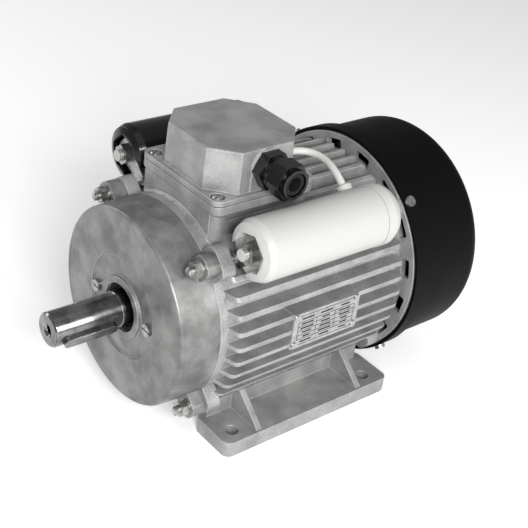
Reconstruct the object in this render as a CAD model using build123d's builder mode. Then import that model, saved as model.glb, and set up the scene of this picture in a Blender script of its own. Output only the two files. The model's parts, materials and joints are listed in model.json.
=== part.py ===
# Single-phase electric motor, foot mounted, frame size 90L, with start and run capacitors.
# Frame: X along the shaft with the drive end towards -X, Z up from the foot plane,
# origin at the centre of the four foot holes. Millimetres.

import os
from math import cos, radians, sin, tan

from build123d import *

os.makedirs("parts", exist_ok=True)

# Frame sizes of the foot-mounted series
centre_height = 90.0
foot_hole_spacing_x = 125.0
foot_hole_spacing_y = 140.0
foot_hole_radius = 5.0
shoulder_x = -118.5
shaft_end_length = 50.0
shaft_end_radius = 12.0

# Clearances
seat_gap = 0.05
press_gap = 0.02
free_gap = 0.3
running_gap = 0.1

# Housing
seam_front_x = -83.0
seam_rear_x = 80.0
bore_radius = 65.0
barrel_radius = 70.5
seam_radius = 71.5
ring_length = 6.0
fin_radius = 81.0
fin_pitch = 11.6
fin_thickness = 3.0
fin_front_x = -77.3
fin_rear_x = 77.3
fin_corner_step = 3.0
fin_corner_radius = 4.0
side_fin_count = 9
top_fin_count = 7
top_fin_height = 78.5
belly_fin_depth = 76.0
foot_centre_x = 2.0
foot_length = 154.0
foot_thickness = 12.0
foot_outer_y = 82.0
foot_corner_radius = 6.0
web_inner_y = 43.5
web_outer_y = 49.5
web_top_z = centre_height - 49.0
gusset_offset_x = 47.5
gusset_thickness = 4.5
gusset_top_z = centre_height - 57.0
pad_half_length = 30.0
pad_low_z = centre_height - 14.0
pad_high_z = centre_height + 14.0
pad_face_y = 81.1

# Tie rods and lugs
rod_circle_radius = 78.0
rod_radius = 3.0
rod_hole_radius = 3.3
rod_front_x = -103.0
rod_rear_x = 99.0
lug_radius = 8.0
lug_depth = 10.0
front_lug_half_width = 11.5
lug_corner_radius = 6.5
shield_lug_front_x = -93.0
nut_across_flats = 10.0
nut_thickness = 5.0
washer_radius = 5.8
washer_thickness = 1.2

# Front end shield and its hub
face_x = -113.0
face_radius = 70.0
face_edge_radius = 2.2
recess_depth = 1.5
recess_radius = 36.5
boss_front_x = -114.0
boss_radius = 22.0
shield_wall = 6.0
face_inner_x = -105.0
hub_radius = 36.5
hub_rear_x = -86.5
spigot_length = 5.0
spigot_wall = 4.5

# Bearings
bearing_bore_radius = 12.5
bearing_outer_radius = 26.0
bearing_width = 15.0
front_bearing_x = -102.0
rear_bearing_x = 87.0
ball_radius = 3.97
ball_circle_radius = 19.25
ball_count = 9
inner_land_radius = 16.4
outer_land_radius = 22.1
cage_inner_radius = 18.2
cage_outer_radius = 20.3
cage_half_width = 4.6

# Seal and bearing cap
seal_bore_radius = 17.5
seal_front_x = -111.0
seal_rear_x = -104.0
cap_screw_offset = 31.0
cap_screw_radius = 2.5
cap_screw_head_radius = 4.4
cap_screw_head_height = 2.6
cap_front_x = -86.2
cap_rear_x = -81.5
shaft_clearance_radius = 15.8

# Stator and rotor
core_front_x = -42.0
core_rear_x = 50.0
stator_bore_radius = 38.0
slot_count = 24
slot_bottom_radius = 54.0
slot_top_radius = 42.0
slot_width = 5.4
slot_mouth_width = 2.2
slot_liner = 0.3
overhang_length = 24.0
main_ring_inner = 47.0
main_ring_outer = 60.0
auxiliary_ring_inner = 40.5
auxiliary_ring_outer = 46.5
air_gap = 0.4
rotor_seat_radius = 17.0
end_ring_inner = 25.0
end_ring_outer = 36.0
end_ring_length = 9.0
rotor_blade_count = 8
rotor_blade_length = 7.0

# Shaft
journal_shoulder_radius = 15.0
fan_seat_radius = 11.0
shaft_rear_x = 133.0
key_width = 8.0
key_height = 7.0
key_length = 40.0
keyway_depth = 4.0
key_angle = 20.0
centre_thread_radius = 3.4
centre_thread_depth = 19.0

# Centrifugal switch
collar_travel = 2.8
pivot_x = -68.0
pivot_radius = 27.0
pivot_pin_radius = 1.5
finger_tip_radius = 19.0
finger_thickness = 2.4
groove_width = 3.6
groove_floor_gap = 0.4
groove_wall_height = 1.2
weight_half_width = 4.4
ear_gap = 0.5
ear_thickness = 2.0
weight_outer = 31.5
weight_inner = 24.0
weight_rear_x = -53.5
governor_disc_front_x = -58.0
governor_disc_rear_x = -55.0
governor_disc_radius = 21.0
collar_front_x = -76.0
push_disc_radius = 24.0
push_disc_thickness = 1.6
arm_thickness = 1.4
switch_plate_thickness = 2.0
switch_hinge_y = 30.0

# Rear end shield
rear_shield_x = 90.0
rear_web_thickness = 6.0
rear_hub_radius = 33.0
rear_hub_end_x = 106.0
wave_spring_length = 2.0
rim_radius = 85.4
rim_thickness = 4.0
air_slot_count = 16
air_slot_height = 8.0
air_slot_width = 14.5

# Fan cowl
cowl_front_x = 80.6
cowl_step_x = 92.8
cowl_band_radius = 88.5
cowl_radius = 85.5
cowl_wall = 2.2
rear_lug_radius = cowl_band_radius - cowl_wall - free_gap
cowl_rear_x = 155.0
cowl_edge_radius = 13.0
grille_inner_radius = 16.0
grille_outer_radius = 70.0
grille_ring_count = 5
grille_slot_width = 6.0
grille_rib_width = 4.5
grille_sectors = 8
cowl_screw_x = 85.0
cowl_screw_radius = 2.5
cowl_screw_head_radius = 4.0
cowl_screw_head_height = 2.4
cowl_screw_length = 6.5

# Fan
fan_hub_radius = 19.0
fan_hub_front_x = 110.0
fan_hub_rear_x = 129.0
fan_disc_x = 112.0
fan_disc_thickness = 3.0
fan_radius = 74.0
fan_blade_count = 8
fan_blade_thickness = 3.0
fan_blade_depth = 25.0
circlip_thickness = 1.2

# Terminal box
box_centre_x = -33.0
box_flange_half_x = 42.0
box_flange_half_y = 43.0
box_flange_corner = 7.0
box_flange_top_z = centre_height + 86.0
box_flange_thickness = 5.5
box_flare_depth = 8.0
box_flare_angle = 36.0
box_wall_half_x = 37.0
box_wall_half_y = 36.5
box_wall_front_x = -74.5
box_wall = 5.0
box_floor_z = centre_height + 74.0
box_column_x = 35.3
box_column_y = 35.0
box_column_radius = 6.2
gasket_thickness = 0.8
gasket_inset = 1.5
lid_flange_thickness = 3.5
lid_top_z = centre_height + 119.0
lid_half_x = 37.0
lid_half_y = 38.0
lid_corner_x = 16.0
lid_corner_y = 17.0
lid_draft = 2.0
lid_wall = 3.0
lid_screw_radius = 2.0
lid_screw_head_radius = 3.6
lid_screw_head_height = 2.2
lid_screw_length = 14.0
lid_recess_radius = 4.9
lid_recess_depth = 1.9

# Cable gland
gland_z = centre_height + 105.5
gland_pad_radius = 13.0
gland_pad_face_y = 39.6
gland_thread_radius = 10.0
gland_flats = 23.5
gland_base_length = 8.0
gland_collar_radius = 11.2
gland_collar_length = 5.0
gland_nut_flats = 23.0
gland_nut_length = 15.0
gland_bore_radius = 5.0
gland_seal_length = 12.0

# Terminals
board_half_x = 22.0
board_half_y = 24.0
board_thickness = 6.0
terminal_pitch_x = 20.0
terminal_pitch_y = 16.0
terminal_radius = 2.5
terminal_length = 14.0
terminal_nut_flats = 8.0
terminal_nut_thickness = 4.0
earth_x = 27.0
earth_y = 24.0

# Capacitors, one on each side
capacitor_angle = 43.5
start_shift_x = 5.0
cover_radius = 21.0
cover_rod_gap = 1.0
cover_wall = 2.0
cover_front_x = -72.0
cover_seam_x = 30.0
cover_rear_x = 44.0
cover_edge_radius = 6.5
cover_cap_radius = 21.5
pocket_flats = 25.0
pocket_depth = 6.0
capacitor_distance = rod_circle_radius + rod_radius + cover_rod_gap + cover_radius
can_radius = 18.0
can_front_x = -63.5
can_rear_x = 36.0
capacitor_stud_radius = 4.0
capacitor_stud_length = 14.5
capacitor_nut_flats = 13.0
capacitor_nut_thickness = 6.5
tab_thickness = 2.0
tab_flats = 21.0
tab_strip_width = 12.0
snout_radius = 5.5
snout_length = 3.0
snout_x = 21.0
snout_angle = 42.0

# Leads between the terminal box and the capacitors
lead_radius = 2.6
lead_exit_y = 12.0
lead_exit_z = centre_height + 96.0
grommet_radius = 5.0

# Nameplate
plate_half_length = 30.0
plate_half_height = 14.0
plate_thickness = 0.8
rivet_radius = 1.4
rivet_head_radius = 2.4

shaft_axis = Axis((0, 0, centre_height), (1, 0, 0))
half_section = Plane(origin=(0, 0, centre_height), x_dir=(1, 0, 0), z_dir=(0, -1, 0))
lug_angles = (45, 135, 225, 315)


def station(x, y=0.0, z=centre_height):
    """Plane across the shaft line, its own x along +Y and its own y along +Z."""
    return Plane(origin=(x, y, z), x_dir=(0, 1, 0), z_dir=(1, 0, 0))


def disc(start, end, outer, inner=0.0, y=0.0, z=centre_height, mode=Mode.ADD):
    """Round plate or ring between two stations of a line along X."""
    with BuildSketch(station(start, y, z)) as outline:
        Circle(outer)
        if inner:
            Circle(inner, mode=Mode.SUBTRACT)
    extrude(outline.sketch, amount=end - start, mode=mode)


def turned(*points, y=0.0, z=centre_height, mode=Mode.ADD):
    """Body of revolution about a line along X from points of (x, radius)."""
    plane = Plane(origin=(0, y, z), x_dir=(1, 0, 0), z_dir=(0, -1, 0))
    with BuildSketch(plane) as outline:
        with BuildLine():
            Polyline(*points, close=True)
        make_face()
    revolve(outline.sketch, axis=Axis((0, y, z), (1, 0, 0)), mode=mode)


def hexagon(start, end, across_flats, y=0.0, z=centre_height, rotation=0.0, mode=Mode.ADD):
    """Hexagonal prism along X."""
    with BuildSketch(station(start, y, z)) as outline:
        RegularPolygon(across_flats / 2, 6, major_radius=False, rotation=rotation)
    extrude(outline.sketch, amount=end - start, mode=mode)


def block(x0, x1, y0, y1, z0, z1, mode=Mode.ADD):
    """Plain block between two corners."""
    with BuildSketch(Plane.XY.offset(z0)) as outline:
        with Locations(((x0 + x1) / 2, (y0 + y1) / 2)):
            Rectangle(abs(x1 - x0), abs(y1 - y0))
    extrude(outline.sketch, amount=z1 - z0, mode=mode)


def lugs(start, end, width, outer, mode=Mode.ADD):
    """Four ears round the seam that carry the tie rods."""
    with BuildSketch(station(start)) as outline:
        with PolarLocations(0, 4, start_angle=45):
            with Locations(((outer + bore_radius + 2) / 2, 0)):
                RectangleRounded(outer - bore_radius - 2, 2 * width, lug_corner_radius)
            with Locations(((rod_circle_radius + bore_radius + 2) / 2, 0)):
                Rectangle(rod_circle_radius - bore_radius - 2, 2 * width)
    extrude(outline.sketch, amount=end - start, mode=mode)


def rod_holes(start, end, radius):
    """Holes for the four tie rods."""
    with BuildSketch(station(start)) as outline:
        with PolarLocations(rod_circle_radius, 4, start_angle=45):
            Circle(radius)
    extrude(outline.sketch, amount=end - start, mode=Mode.SUBTRACT)


def save(builder, name):
    """Label a finished piece and write its file."""
    builder.part.label = name
    export_step(builder.part, f"parts/{name}.step")


# Housing: finned barrel, feet and terminal-box pedestal in one casting
with BuildPart() as housing:
    with BuildSketch(station(fin_front_x)) as side_fins:
        with GridLocations(0, fin_pitch, 1, side_fin_count):
            Rectangle(2 * fin_radius + 4, fin_thickness)
    extrude(amount=fin_rear_x - fin_front_x)
    with BuildSketch(station(fin_front_x)) as top_fins:
        with GridLocations(fin_pitch, 0, top_fin_count, 1):
            with Locations((0, (top_fin_height - belly_fin_depth) / 2)):
                Rectangle(fin_thickness, top_fin_height + belly_fin_depth)
    extrude(amount=fin_rear_x - fin_front_x)
    with BuildSketch(half_section) as envelope:
        with BuildLine():
            Polyline(
                (fin_front_x, 0),
                (fin_front_x, barrel_radius),
                (fin_front_x + fin_corner_step, fin_radius),
                (fin_rear_x - fin_corner_step, fin_radius),
                (fin_rear_x, barrel_radius),
                (fin_rear_x, 0),
                close=True,
            )
        make_face()
        outer_corners = envelope.vertices().sort_by(Axis.Y)[-2:]
        fillet(outer_corners, fin_corner_radius)
    revolve(axis=shaft_axis, mode=Mode.INTERSECT)
    disc(seam_front_x, seam_rear_x, barrel_radius)
    disc(seam_front_x, seam_front_x + ring_length, seam_radius)
    disc(seam_rear_x - ring_length, seam_rear_x, seam_radius)
    lugs(seam_front_x, seam_front_x + lug_depth, front_lug_half_width, rod_circle_radius + lug_radius)
    lugs(seam_rear_x - lug_depth, seam_rear_x, lug_radius, rod_circle_radius + lug_radius)
    # Feet with their webs and gussets
    for side in (-1, 1):
        foot_middle_y = side * (foot_outer_y + web_inner_y) / 2
        with BuildSketch(Plane.XY) as foot:
            with Locations((foot_centre_x, foot_middle_y)):
                RectangleRounded(foot_length, foot_outer_y - web_inner_y, foot_corner_radius)
        extrude(amount=foot_thickness)
        web_start = foot_centre_x - foot_length / 2 + foot_corner_radius
        web_end = foot_centre_x + foot_length / 2 - foot_corner_radius
        block(web_start, web_end, side * web_inner_y, side * web_outer_y, 0, web_top_z)
        for direction in (-1, 1):
            gusset_x = foot_centre_x + direction * gusset_offset_x - gusset_thickness / 2
            with BuildSketch(station(gusset_x, 0, 0)) as gusset:
                with BuildLine():
                    Polyline(
                        (side * (web_outer_y - 1), foot_thickness - 1),
                        (side * (foot_outer_y - 2), foot_thickness - 1),
                        (side * (foot_outer_y - 2), foot_thickness),
                        (side * (web_outer_y + 6), gusset_top_z),
                        (side * (web_outer_y - 1), gusset_top_z + 4),
                        close=True,
                    )
                make_face()
            extrude(amount=gusset_thickness)
    # Terminal-box pedestal
    with BuildSketch(Plane.XY.offset(centre_height + barrel_radius * 0.75)) as pedestal:
        with Locations((box_centre_x, 0)):
            Rectangle(2 * box_wall_half_x, 2 * box_wall_half_y)
            with GridLocations(2 * box_column_x, 2 * box_column_y, 2, 2):
                Circle(box_column_radius)
    extrude(amount=box_flange_top_z - centre_height - barrel_radius * 0.75)
    block(
        box_wall_front_x,
        box_centre_x - box_wall_half_x,
        -box_wall_half_y,
        box_wall_half_y,
        centre_height + barrel_radius * 0.75,
        box_flange_top_z,
    )
    # Fins stop at the pedestal's front wall
    with BuildSketch(station(fin_front_x)) as front_trim:
        with Locations((0, seam_radius)):
            Rectangle(2 * box_wall_half_y, seam_radius)
        Circle(seam_radius, mode=Mode.SUBTRACT)
    extrude(amount=box_wall_front_x - fin_front_x, mode=Mode.SUBTRACT)
    with BuildSketch(Plane.XY.offset(box_flange_top_z - box_flange_thickness)) as flange:
        with Locations((box_centre_x, 0)):
            RectangleRounded(2 * box_flange_half_x, 2 * box_flange_half_y, box_flange_corner)
    extrude(amount=box_flange_thickness)
    with BuildSketch(Plane.XY.offset(box_flange_top_z - box_flange_thickness)) as flare:
        with Locations((box_centre_x, 0)):
            RectangleRounded(2 * box_flange_half_x, 2 * box_flange_half_y, box_flange_corner)
    extrude(amount=-box_flare_depth, taper=box_flare_angle)
    with BuildSketch(Plane.XY.offset(box_floor_z)) as chamber:
        with Locations((box_centre_x, 0)):
            RectangleRounded(
                2 * (box_wall_half_x - box_wall),
                2 * (box_wall_half_y - box_wall),
                box_wall,
            )
            with GridLocations(2 * box_column_x, 2 * box_column_y, 2, 2):
                Circle(box_column_radius, mode=Mode.SUBTRACT)
    extrude(amount=box_flange_top_z - box_floor_z, mode=Mode.SUBTRACT)
    with BuildSketch(Plane.XY.offset(box_flange_top_z - lid_screw_length)) as lid_screw_holes:
        with Locations((box_centre_x, 0)):
            with GridLocations(2 * box_column_x, 2 * box_column_y, 2, 2):
                Circle(lid_screw_radius + seat_gap)
    extrude(amount=lid_screw_length, mode=Mode.SUBTRACT)
    # Nameplate pad on the near side
    block(-pad_half_length, pad_half_length, -pad_face_y, -barrel_radius + 2, pad_low_z, pad_high_z)
    # Bore, lead hole, tie-rod holes and foot holes
    disc(seam_front_x, seam_rear_x, bore_radius, mode=Mode.SUBTRACT)
    with BuildSketch(Plane.XY.offset(centre_height)) as lead_hole:
        with Locations((box_centre_x - 20, 0)):
            Circle(6)
    extrude(amount=box_floor_z - centre_height, mode=Mode.SUBTRACT)
    rod_holes(seam_front_x, seam_rear_x, rod_hole_radius)
    with BuildSketch(Plane.XY) as foot_holes:
        with GridLocations(foot_hole_spacing_x, foot_hole_spacing_y, 2, 2):
            Circle(foot_hole_radius)
    extrude(amount=foot_thickness, mode=Mode.SUBTRACT)
save(housing, "housing")

# Front end shield: deep turned drum with the bearing hub inside it
drum_inner_radius = face_radius - shield_wall
front_bearing_rear_x = front_bearing_x + bearing_width
bearing_seat_radius = bearing_outer_radius + press_gap
with BuildPart() as front_end_shield:
    with BuildSketch(half_section) as drum:
        with BuildLine():
            Polyline(
                (boss_front_x, seal_bore_radius),
                (boss_front_x, boss_radius),
                (face_x + recess_depth, boss_radius + 0.6),
                (face_x + recess_depth, recess_radius),
                (face_x, recess_radius + 0.6),
                (face_x, face_radius),
                (seam_front_x, seam_radius),
                (seam_front_x, bore_radius - seat_gap),
                (seam_front_x + spigot_length, bore_radius - seat_gap),
                (seam_front_x + spigot_length, bore_radius - spigot_wall),
                (seam_front_x, bore_radius - spigot_wall),
                (face_inner_x + 3, drum_inner_radius),
                (face_inner_x, drum_inner_radius - 3),
                (face_inner_x, hub_radius),
                (hub_rear_x, hub_radius - 1),
                (hub_rear_x, bearing_seat_radius),
                (front_bearing_x, bearing_seat_radius),
                (front_bearing_x, outer_land_radius),
                (seal_rear_x, outer_land_radius),
                (seal_rear_x, seal_bore_radius),
                close=True,
            )
        make_face()
        face_corners = drum.vertices().filter_by_position(Axis.X, face_x - 0.1, face_x + 0.1)
        fillet(face_corners.sort_by(Axis.Y)[-1], face_edge_radius)
    revolve(axis=shaft_axis)
    lugs(shield_lug_front_x, seam_front_x, lug_radius, rod_circle_radius + lug_radius)
    rod_holes(shield_lug_front_x, seam_front_x, rod_hole_radius)
    with BuildSketch(station(face_x)) as cap_holes:
        with GridLocations(2 * cap_screw_offset, 0, 2, 1):
            Circle(cap_screw_radius + running_gap)
    extrude(amount=hub_rear_x - face_x, mode=Mode.SUBTRACT)
save(front_end_shield, "front_end_shield")

# Rear end shield: dished plate with the rear bearing hub
rear_bearing_rear_x = rear_bearing_x + bearing_width
rear_pocket_end_x = rear_bearing_rear_x + wave_spring_length
with BuildPart() as rear_end_shield:
    turned(
        (seam_rear_x - spigot_length, bore_radius - spigot_wall),
        (seam_rear_x - spigot_length, bore_radius - seat_gap),
        (seam_rear_x, bore_radius - seat_gap),
        (seam_rear_x, seam_radius),
        (rear_shield_x - 3, seam_radius),
        (rear_shield_x, seam_radius - 3),
        (rear_shield_x + 2, rear_hub_radius + 6),
        (rear_hub_end_x - 2, rear_hub_radius),
        (rear_hub_end_x, rear_hub_radius - 2),
        (rear_hub_end_x, shaft_clearance_radius),
        (rear_pocket_end_x, shaft_clearance_radius),
        (rear_pocket_end_x, bearing_seat_radius),
        (rear_bearing_x - 2, bearing_seat_radius),
        (rear_bearing_x - 2, rear_hub_radius),
        (rear_shield_x - rear_web_thickness, rear_hub_radius + 6),
        (rear_shield_x - rear_web_thickness, bore_radius - spigot_wall - 3),
    )
    # Outer rim that centres the cowl, with slots for the cooling air
    disc(seam_rear_x, seam_rear_x + rim_thickness, rim_radius, bore_radius)
    with BuildSketch(station(seam_rear_x)) as air_slots:
        with PolarLocations(0, air_slot_count, start_angle=180 / air_slot_count):
            with Locations((seam_radius + 1.4 + air_slot_height / 2, 0)):
                RectangleRounded(air_slot_height, air_slot_width, 2)
    extrude(amount=rim_thickness, mode=Mode.SUBTRACT)
    lugs(seam_rear_x, rear_shield_x, lug_radius, rear_lug_radius)
    rod_holes(seam_rear_x, rear_shield_x, rod_hole_radius)
    for angle in lug_angles:
        direction = Vector(0, cos(radians(angle)), sin(radians(angle)))
        mouth = Vector(cowl_screw_x, 0, centre_height) + direction * (rod_circle_radius + rod_hole_radius + 0.6)
        with BuildSketch(Plane(origin=mouth, z_dir=direction)) as tapped:
            Circle(cowl_screw_radius + seat_gap)
        extrude(amount=8, mode=Mode.SUBTRACT)
save(rear_end_shield, "rear_end_shield")

# Inner bearing cap and its two screws
with BuildPart() as front_bearing_cap:
    turned(
        (front_bearing_rear_x + press_gap, outer_land_radius + 0.5),
        (front_bearing_rear_x + press_gap, bearing_outer_radius - seat_gap),
        (hub_rear_x + press_gap, bearing_outer_radius - seat_gap),
        (hub_rear_x + press_gap, hub_radius - 1),
        (cap_rear_x, hub_radius - 2),
        (cap_rear_x, shaft_clearance_radius),
        (cap_rear_x - 2.5, shaft_clearance_radius),
        (cap_rear_x - 2.5, outer_land_radius + 0.5),
    )
    with BuildSketch(station(hub_rear_x)) as cap_threads:
        with GridLocations(2 * cap_screw_offset, 0, 2, 1):
            Circle(cap_screw_radius + seat_gap)
    extrude(amount=cap_rear_x - hub_rear_x, mode=Mode.SUBTRACT)
save(front_bearing_cap, "front_bearing_cap")

with BuildPart() as bearing_cap_screws:
    for side in (-1, 1):
        head_x = face_x + recess_depth
        disc(head_x - cap_screw_head_height, head_x, cap_screw_head_radius, y=side * cap_screw_offset)
        disc(head_x, cap_rear_x, cap_screw_radius, y=side * cap_screw_offset)
        slot_floor_x = head_x - cap_screw_head_height / 2
        block(
            head_x - cap_screw_head_height,
            slot_floor_x,
            side * cap_screw_offset - cap_screw_head_radius,
            side * cap_screw_offset + cap_screw_head_radius,
            centre_height - 0.5,
            centre_height + 0.5,
            mode=Mode.SUBTRACT,
        )
save(bearing_cap_screws, "bearing_cap_screws")

# Shaft seal with its dust lip
with BuildPart() as shaft_seal:
    turned(
        (seal_front_x, bearing_bore_radius + 2.2),
        (seal_front_x, seal_bore_radius - press_gap),
        (seal_rear_x - press_gap, seal_bore_radius - press_gap),
        (seal_rear_x - press_gap, bearing_bore_radius + 2.6),
        (seal_rear_x - 1.5, bearing_bore_radius + 2.6),
        (seal_rear_x - 2.6, bearing_bore_radius + running_gap / 2),
        (seal_rear_x - 3.4, bearing_bore_radius + running_gap / 2),
        (seal_rear_x - 4.4, bearing_bore_radius + 2.2),
    )
save(shaft_seal, "shaft_seal")


def bearing(start, position):
    """Deep-groove ball bearing in three nodes: outer ring, caged balls and inner ring."""
    middle = start + bearing_width / 2
    end = start + bearing_width
    groove_radius = ball_radius + running_gap
    with BuildPart() as outer_ring:
        disc(start, end, bearing_outer_radius, outer_land_radius)
        with Locations(Plane(origin=(middle, 0, centre_height), z_dir=(1, 0, 0))):
            Torus(ball_circle_radius, groove_radius, mode=Mode.SUBTRACT)
    save(outer_ring, f"{position}_bearing_outer_ring")
    with BuildPart() as inner_ring:
        disc(start, end, inner_land_radius, bearing_bore_radius + press_gap)
        with Locations(Plane(origin=(middle, 0, centre_height), z_dir=(1, 0, 0))):
            Torus(ball_circle_radius, groove_radius, mode=Mode.SUBTRACT)
    save(inner_ring, f"{position}_bearing_inner_ring")
    centres = [
        (
            middle,
            ball_circle_radius * cos(radians(360 * i / ball_count)),
            centre_height + ball_circle_radius * sin(radians(360 * i / ball_count)),
        )
        for i in range(ball_count)
    ]
    with BuildPart() as cage:
        disc(middle - cage_half_width, middle + cage_half_width, cage_outer_radius, cage_inner_radius)
        for i in range(ball_count):
            pocket_angle = radians(360 * i / ball_count)
            radial = Vector(0, cos(pocket_angle), sin(pocket_angle))
            with BuildSketch(Plane(origin=(middle, 0, centre_height), z_dir=radial)) as pocket:
                Circle(ball_radius + running_gap)
            extrude(pocket.sketch, amount=cage_outer_radius + 1, mode=Mode.SUBTRACT)
    with BuildPart() as balls:
        with Locations(*centres):
            Sphere(ball_radius)
    caged = Compound(children=[*cage.part.solids(), *balls.part.solids()])
    caged.label = f"{position}_bearing_balls"
    export_step(caged, f"parts/{position}_bearing_balls.step")


bearing(front_bearing_x, "front")
bearing(rear_bearing_x, "rear")

# Wave spring behind the rear bearing
with BuildPart() as rear_wave_spring:
    disc(
        rear_bearing_rear_x + press_gap,
        rear_pocket_end_x - press_gap,
        bearing_outer_radius - 0.4,
        outer_land_radius + 0.6,
    )
save(rear_wave_spring, "rear_wave_spring")


def slots(radius_top, radius_bottom, width, indices, start, end, mode=Mode.ADD):
    """Bars or slots standing round the stator bore."""
    with BuildSketch(station(start)) as outline:
        for index in indices:
            with PolarLocations(0, 1, start_angle=360 * index / slot_count):
                with Locations(((radius_top + radius_bottom) / 2, 0)):
                    Rectangle(radius_bottom - radius_top, width)
    extrude(outline.sketch, amount=end - start, mode=mode)


# Stator: slotted core, main winding and auxiliary winding
all_slots = range(slot_count)
auxiliary_slots = [index for index in all_slots if index % 12 in (0, 1, 6, 7)]
main_slots = [index for index in all_slots if index not in auxiliary_slots]
with BuildPart() as stator_core:
    disc(core_front_x, core_rear_x, bore_radius - seat_gap, stator_bore_radius)
    slots(slot_top_radius, slot_bottom_radius, slot_width, all_slots, core_front_x, core_rear_x, Mode.SUBTRACT)
    slots(
        stator_bore_radius - 1,
        slot_top_radius + 1,
        slot_mouth_width,
        all_slots,
        core_front_x,
        core_rear_x,
        Mode.SUBTRACT,
    )
save(stator_core, "stator_core")

bar_top = slot_top_radius + slot_liner
bar_bottom = slot_bottom_radius - slot_liner
bar_width = slot_width - 2 * slot_liner


def winding(name, indices, ring_inner, ring_outer):
    """Coil sides in their slots, joined by a bound ring of end turns at each end."""
    with BuildPart() as coil:
        slots(bar_top, bar_bottom, bar_width, indices, core_front_x, core_rear_x)
        for start, direction in ((core_front_x, -1), (core_rear_x, 1)):
            turned(
                (start, ring_inner),
                (start, ring_outer - 3),
                (start + direction * 3, ring_outer),
                (start + direction * (overhang_length - 4), ring_outer),
                (start + direction * overhang_length, ring_outer - 3),
                (start + direction * overhang_length, ring_inner + 2),
                (start + direction * (overhang_length - 2), ring_inner),
            )
    save(coil, name)


winding("main_winding", main_slots, main_ring_inner, main_ring_outer)
winding("auxiliary_winding", auxiliary_slots, auxiliary_ring_inner, auxiliary_ring_outer)

# Tie rods with their nuts and washers
with BuildPart() as tie_rods:
    for angle in lug_angles:
        rod_y = rod_circle_radius * cos(radians(angle))
        rod_z = centre_height + rod_circle_radius * sin(radians(angle))
        turned(
            (rod_front_x, 0),
            (rod_front_x, rod_radius - 0.8),
            (rod_front_x + 0.8, rod_radius),
            (rod_rear_x - 0.8, rod_radius),
            (rod_rear_x, rod_radius - 0.8),
            (rod_rear_x, 0),
            y=rod_y,
            z=rod_z,
        )
save(tie_rods, "tie_rods")


def rod_nuts(name, seat_x, direction):
    """Hexagon nut and washer on each tie rod, pressed against a lug."""
    with BuildPart() as nuts:
        for angle in lug_angles:
            nut_y = rod_circle_radius * cos(radians(angle))
            nut_z = centre_height + rod_circle_radius * sin(radians(angle))
            washer_end = seat_x + direction * washer_thickness
            disc(seat_x, washer_end, washer_radius, y=nut_y, z=nut_z)
            nut_end = washer_end + direction * nut_thickness
            hexagon(washer_end, nut_end, nut_across_flats, y=nut_y, z=nut_z, rotation=angle + 30)
            disc(seat_x, nut_end, rod_radius + press_gap, y=nut_y, z=nut_z, mode=Mode.SUBTRACT)
    save(nuts, name)


rod_nuts("front_rod_nuts", shield_lug_front_x, -1)
rod_nuts("rear_rod_nuts", rear_shield_x, 1)

# Terminal-box lid: octagonal hood on a rectangular flange
gasket_top_z = box_flange_top_z + gasket_thickness
lid_flange_top_z = gasket_top_z + lid_flange_thickness


def octagon(half_x, half_y, corner_x, corner_y):
    """Rectangle with its four corners cut off, centred on the terminal box."""
    Polygon(
        (box_centre_x - half_x + corner_x, -half_y),
        (box_centre_x + half_x - corner_x, -half_y),
        (box_centre_x + half_x, -half_y + corner_y),
        (box_centre_x + half_x, half_y - corner_y),
        (box_centre_x + half_x - corner_x, half_y),
        (box_centre_x - half_x + corner_x, half_y),
        (box_centre_x - half_x, half_y - corner_y),
        (box_centre_x - half_x, -half_y + corner_y),
        align=None,
    )


with BuildPart() as terminal_box_lid:
    with BuildSketch(Plane.XY.offset(lid_top_z)) as hood:
        octagon(lid_half_x, lid_half_y, lid_corner_x, lid_corner_y)
    extrude(amount=-(lid_top_z - gasket_top_z), taper=-lid_draft)
    top_edges = edges().group_by(Axis.Z)[-1]
    fillet(top_edges, 1.2)
    with BuildSketch(Plane.XY.offset(gasket_top_z)) as lid_flange:
        with Locations((box_centre_x, 0)):
            RectangleRounded(2 * box_flange_half_x, 2 * box_flange_half_y, box_flange_corner)
    extrude(amount=lid_flange_thickness)
    with BuildSketch(Plane.XZ.offset(gland_pad_face_y)) as gland_pad:
        with Locations((box_centre_x, gland_z)):
            Circle(gland_pad_radius)
        with Locations((box_centre_x, gasket_top_z + 2)):
            Rectangle(2 * gland_pad_radius, 2 * gland_pad_radius)
    extrude(amount=-4)
    block(
        box_centre_x - gland_pad_radius - 1,
        box_centre_x + gland_pad_radius + 1,
        -lid_half_y - 6,
        -lid_half_y + 6,
        gasket_top_z - 40,
        gasket_top_z,
        mode=Mode.SUBTRACT,
    )
    with BuildSketch(Plane.XY.offset(lid_top_z - lid_wall)) as hollow:
        octagon(lid_half_x - lid_wall, lid_half_y - lid_wall, lid_corner_x, lid_corner_y)
    extrude(
        amount=-(lid_top_z - lid_wall - gasket_top_z),
        taper=-lid_draft,
        mode=Mode.SUBTRACT,
    )
    with BuildSketch(Plane.XY.offset(gasket_top_z)) as lid_holes:
        with Locations((box_centre_x, 0)):
            with GridLocations(2 * box_column_x, 2 * box_column_y, 2, 2):
                Circle(lid_screw_radius + free_gap)
    extrude(amount=lid_flange_thickness, mode=Mode.SUBTRACT)
    with BuildSketch(Plane.XY.offset(lid_flange_top_z)) as lid_recesses:
        with Locations((box_centre_x, 0)):
            with GridLocations(2 * box_column_x, 2 * box_column_y, 2, 2):
                Circle(lid_recess_radius)
    extrude(amount=-lid_recess_depth, mode=Mode.SUBTRACT)
    with BuildSketch(Plane.XZ.offset(lid_half_y + 4)) as gland_hole:
        with Locations((box_centre_x, gland_z)):
            Circle(gland_thread_radius + running_gap)
    extrude(amount=-12, mode=Mode.SUBTRACT)
    with BuildSketch(station(box_centre_x + lid_half_x - 6, 0, lead_exit_z)) as lead_holes:
        with GridLocations(2 * lead_exit_y, 0, 2, 1):
            Circle(grommet_radius - 1)
    extrude(amount=12, mode=Mode.SUBTRACT)
save(terminal_box_lid, "terminal_box_lid")

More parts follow.
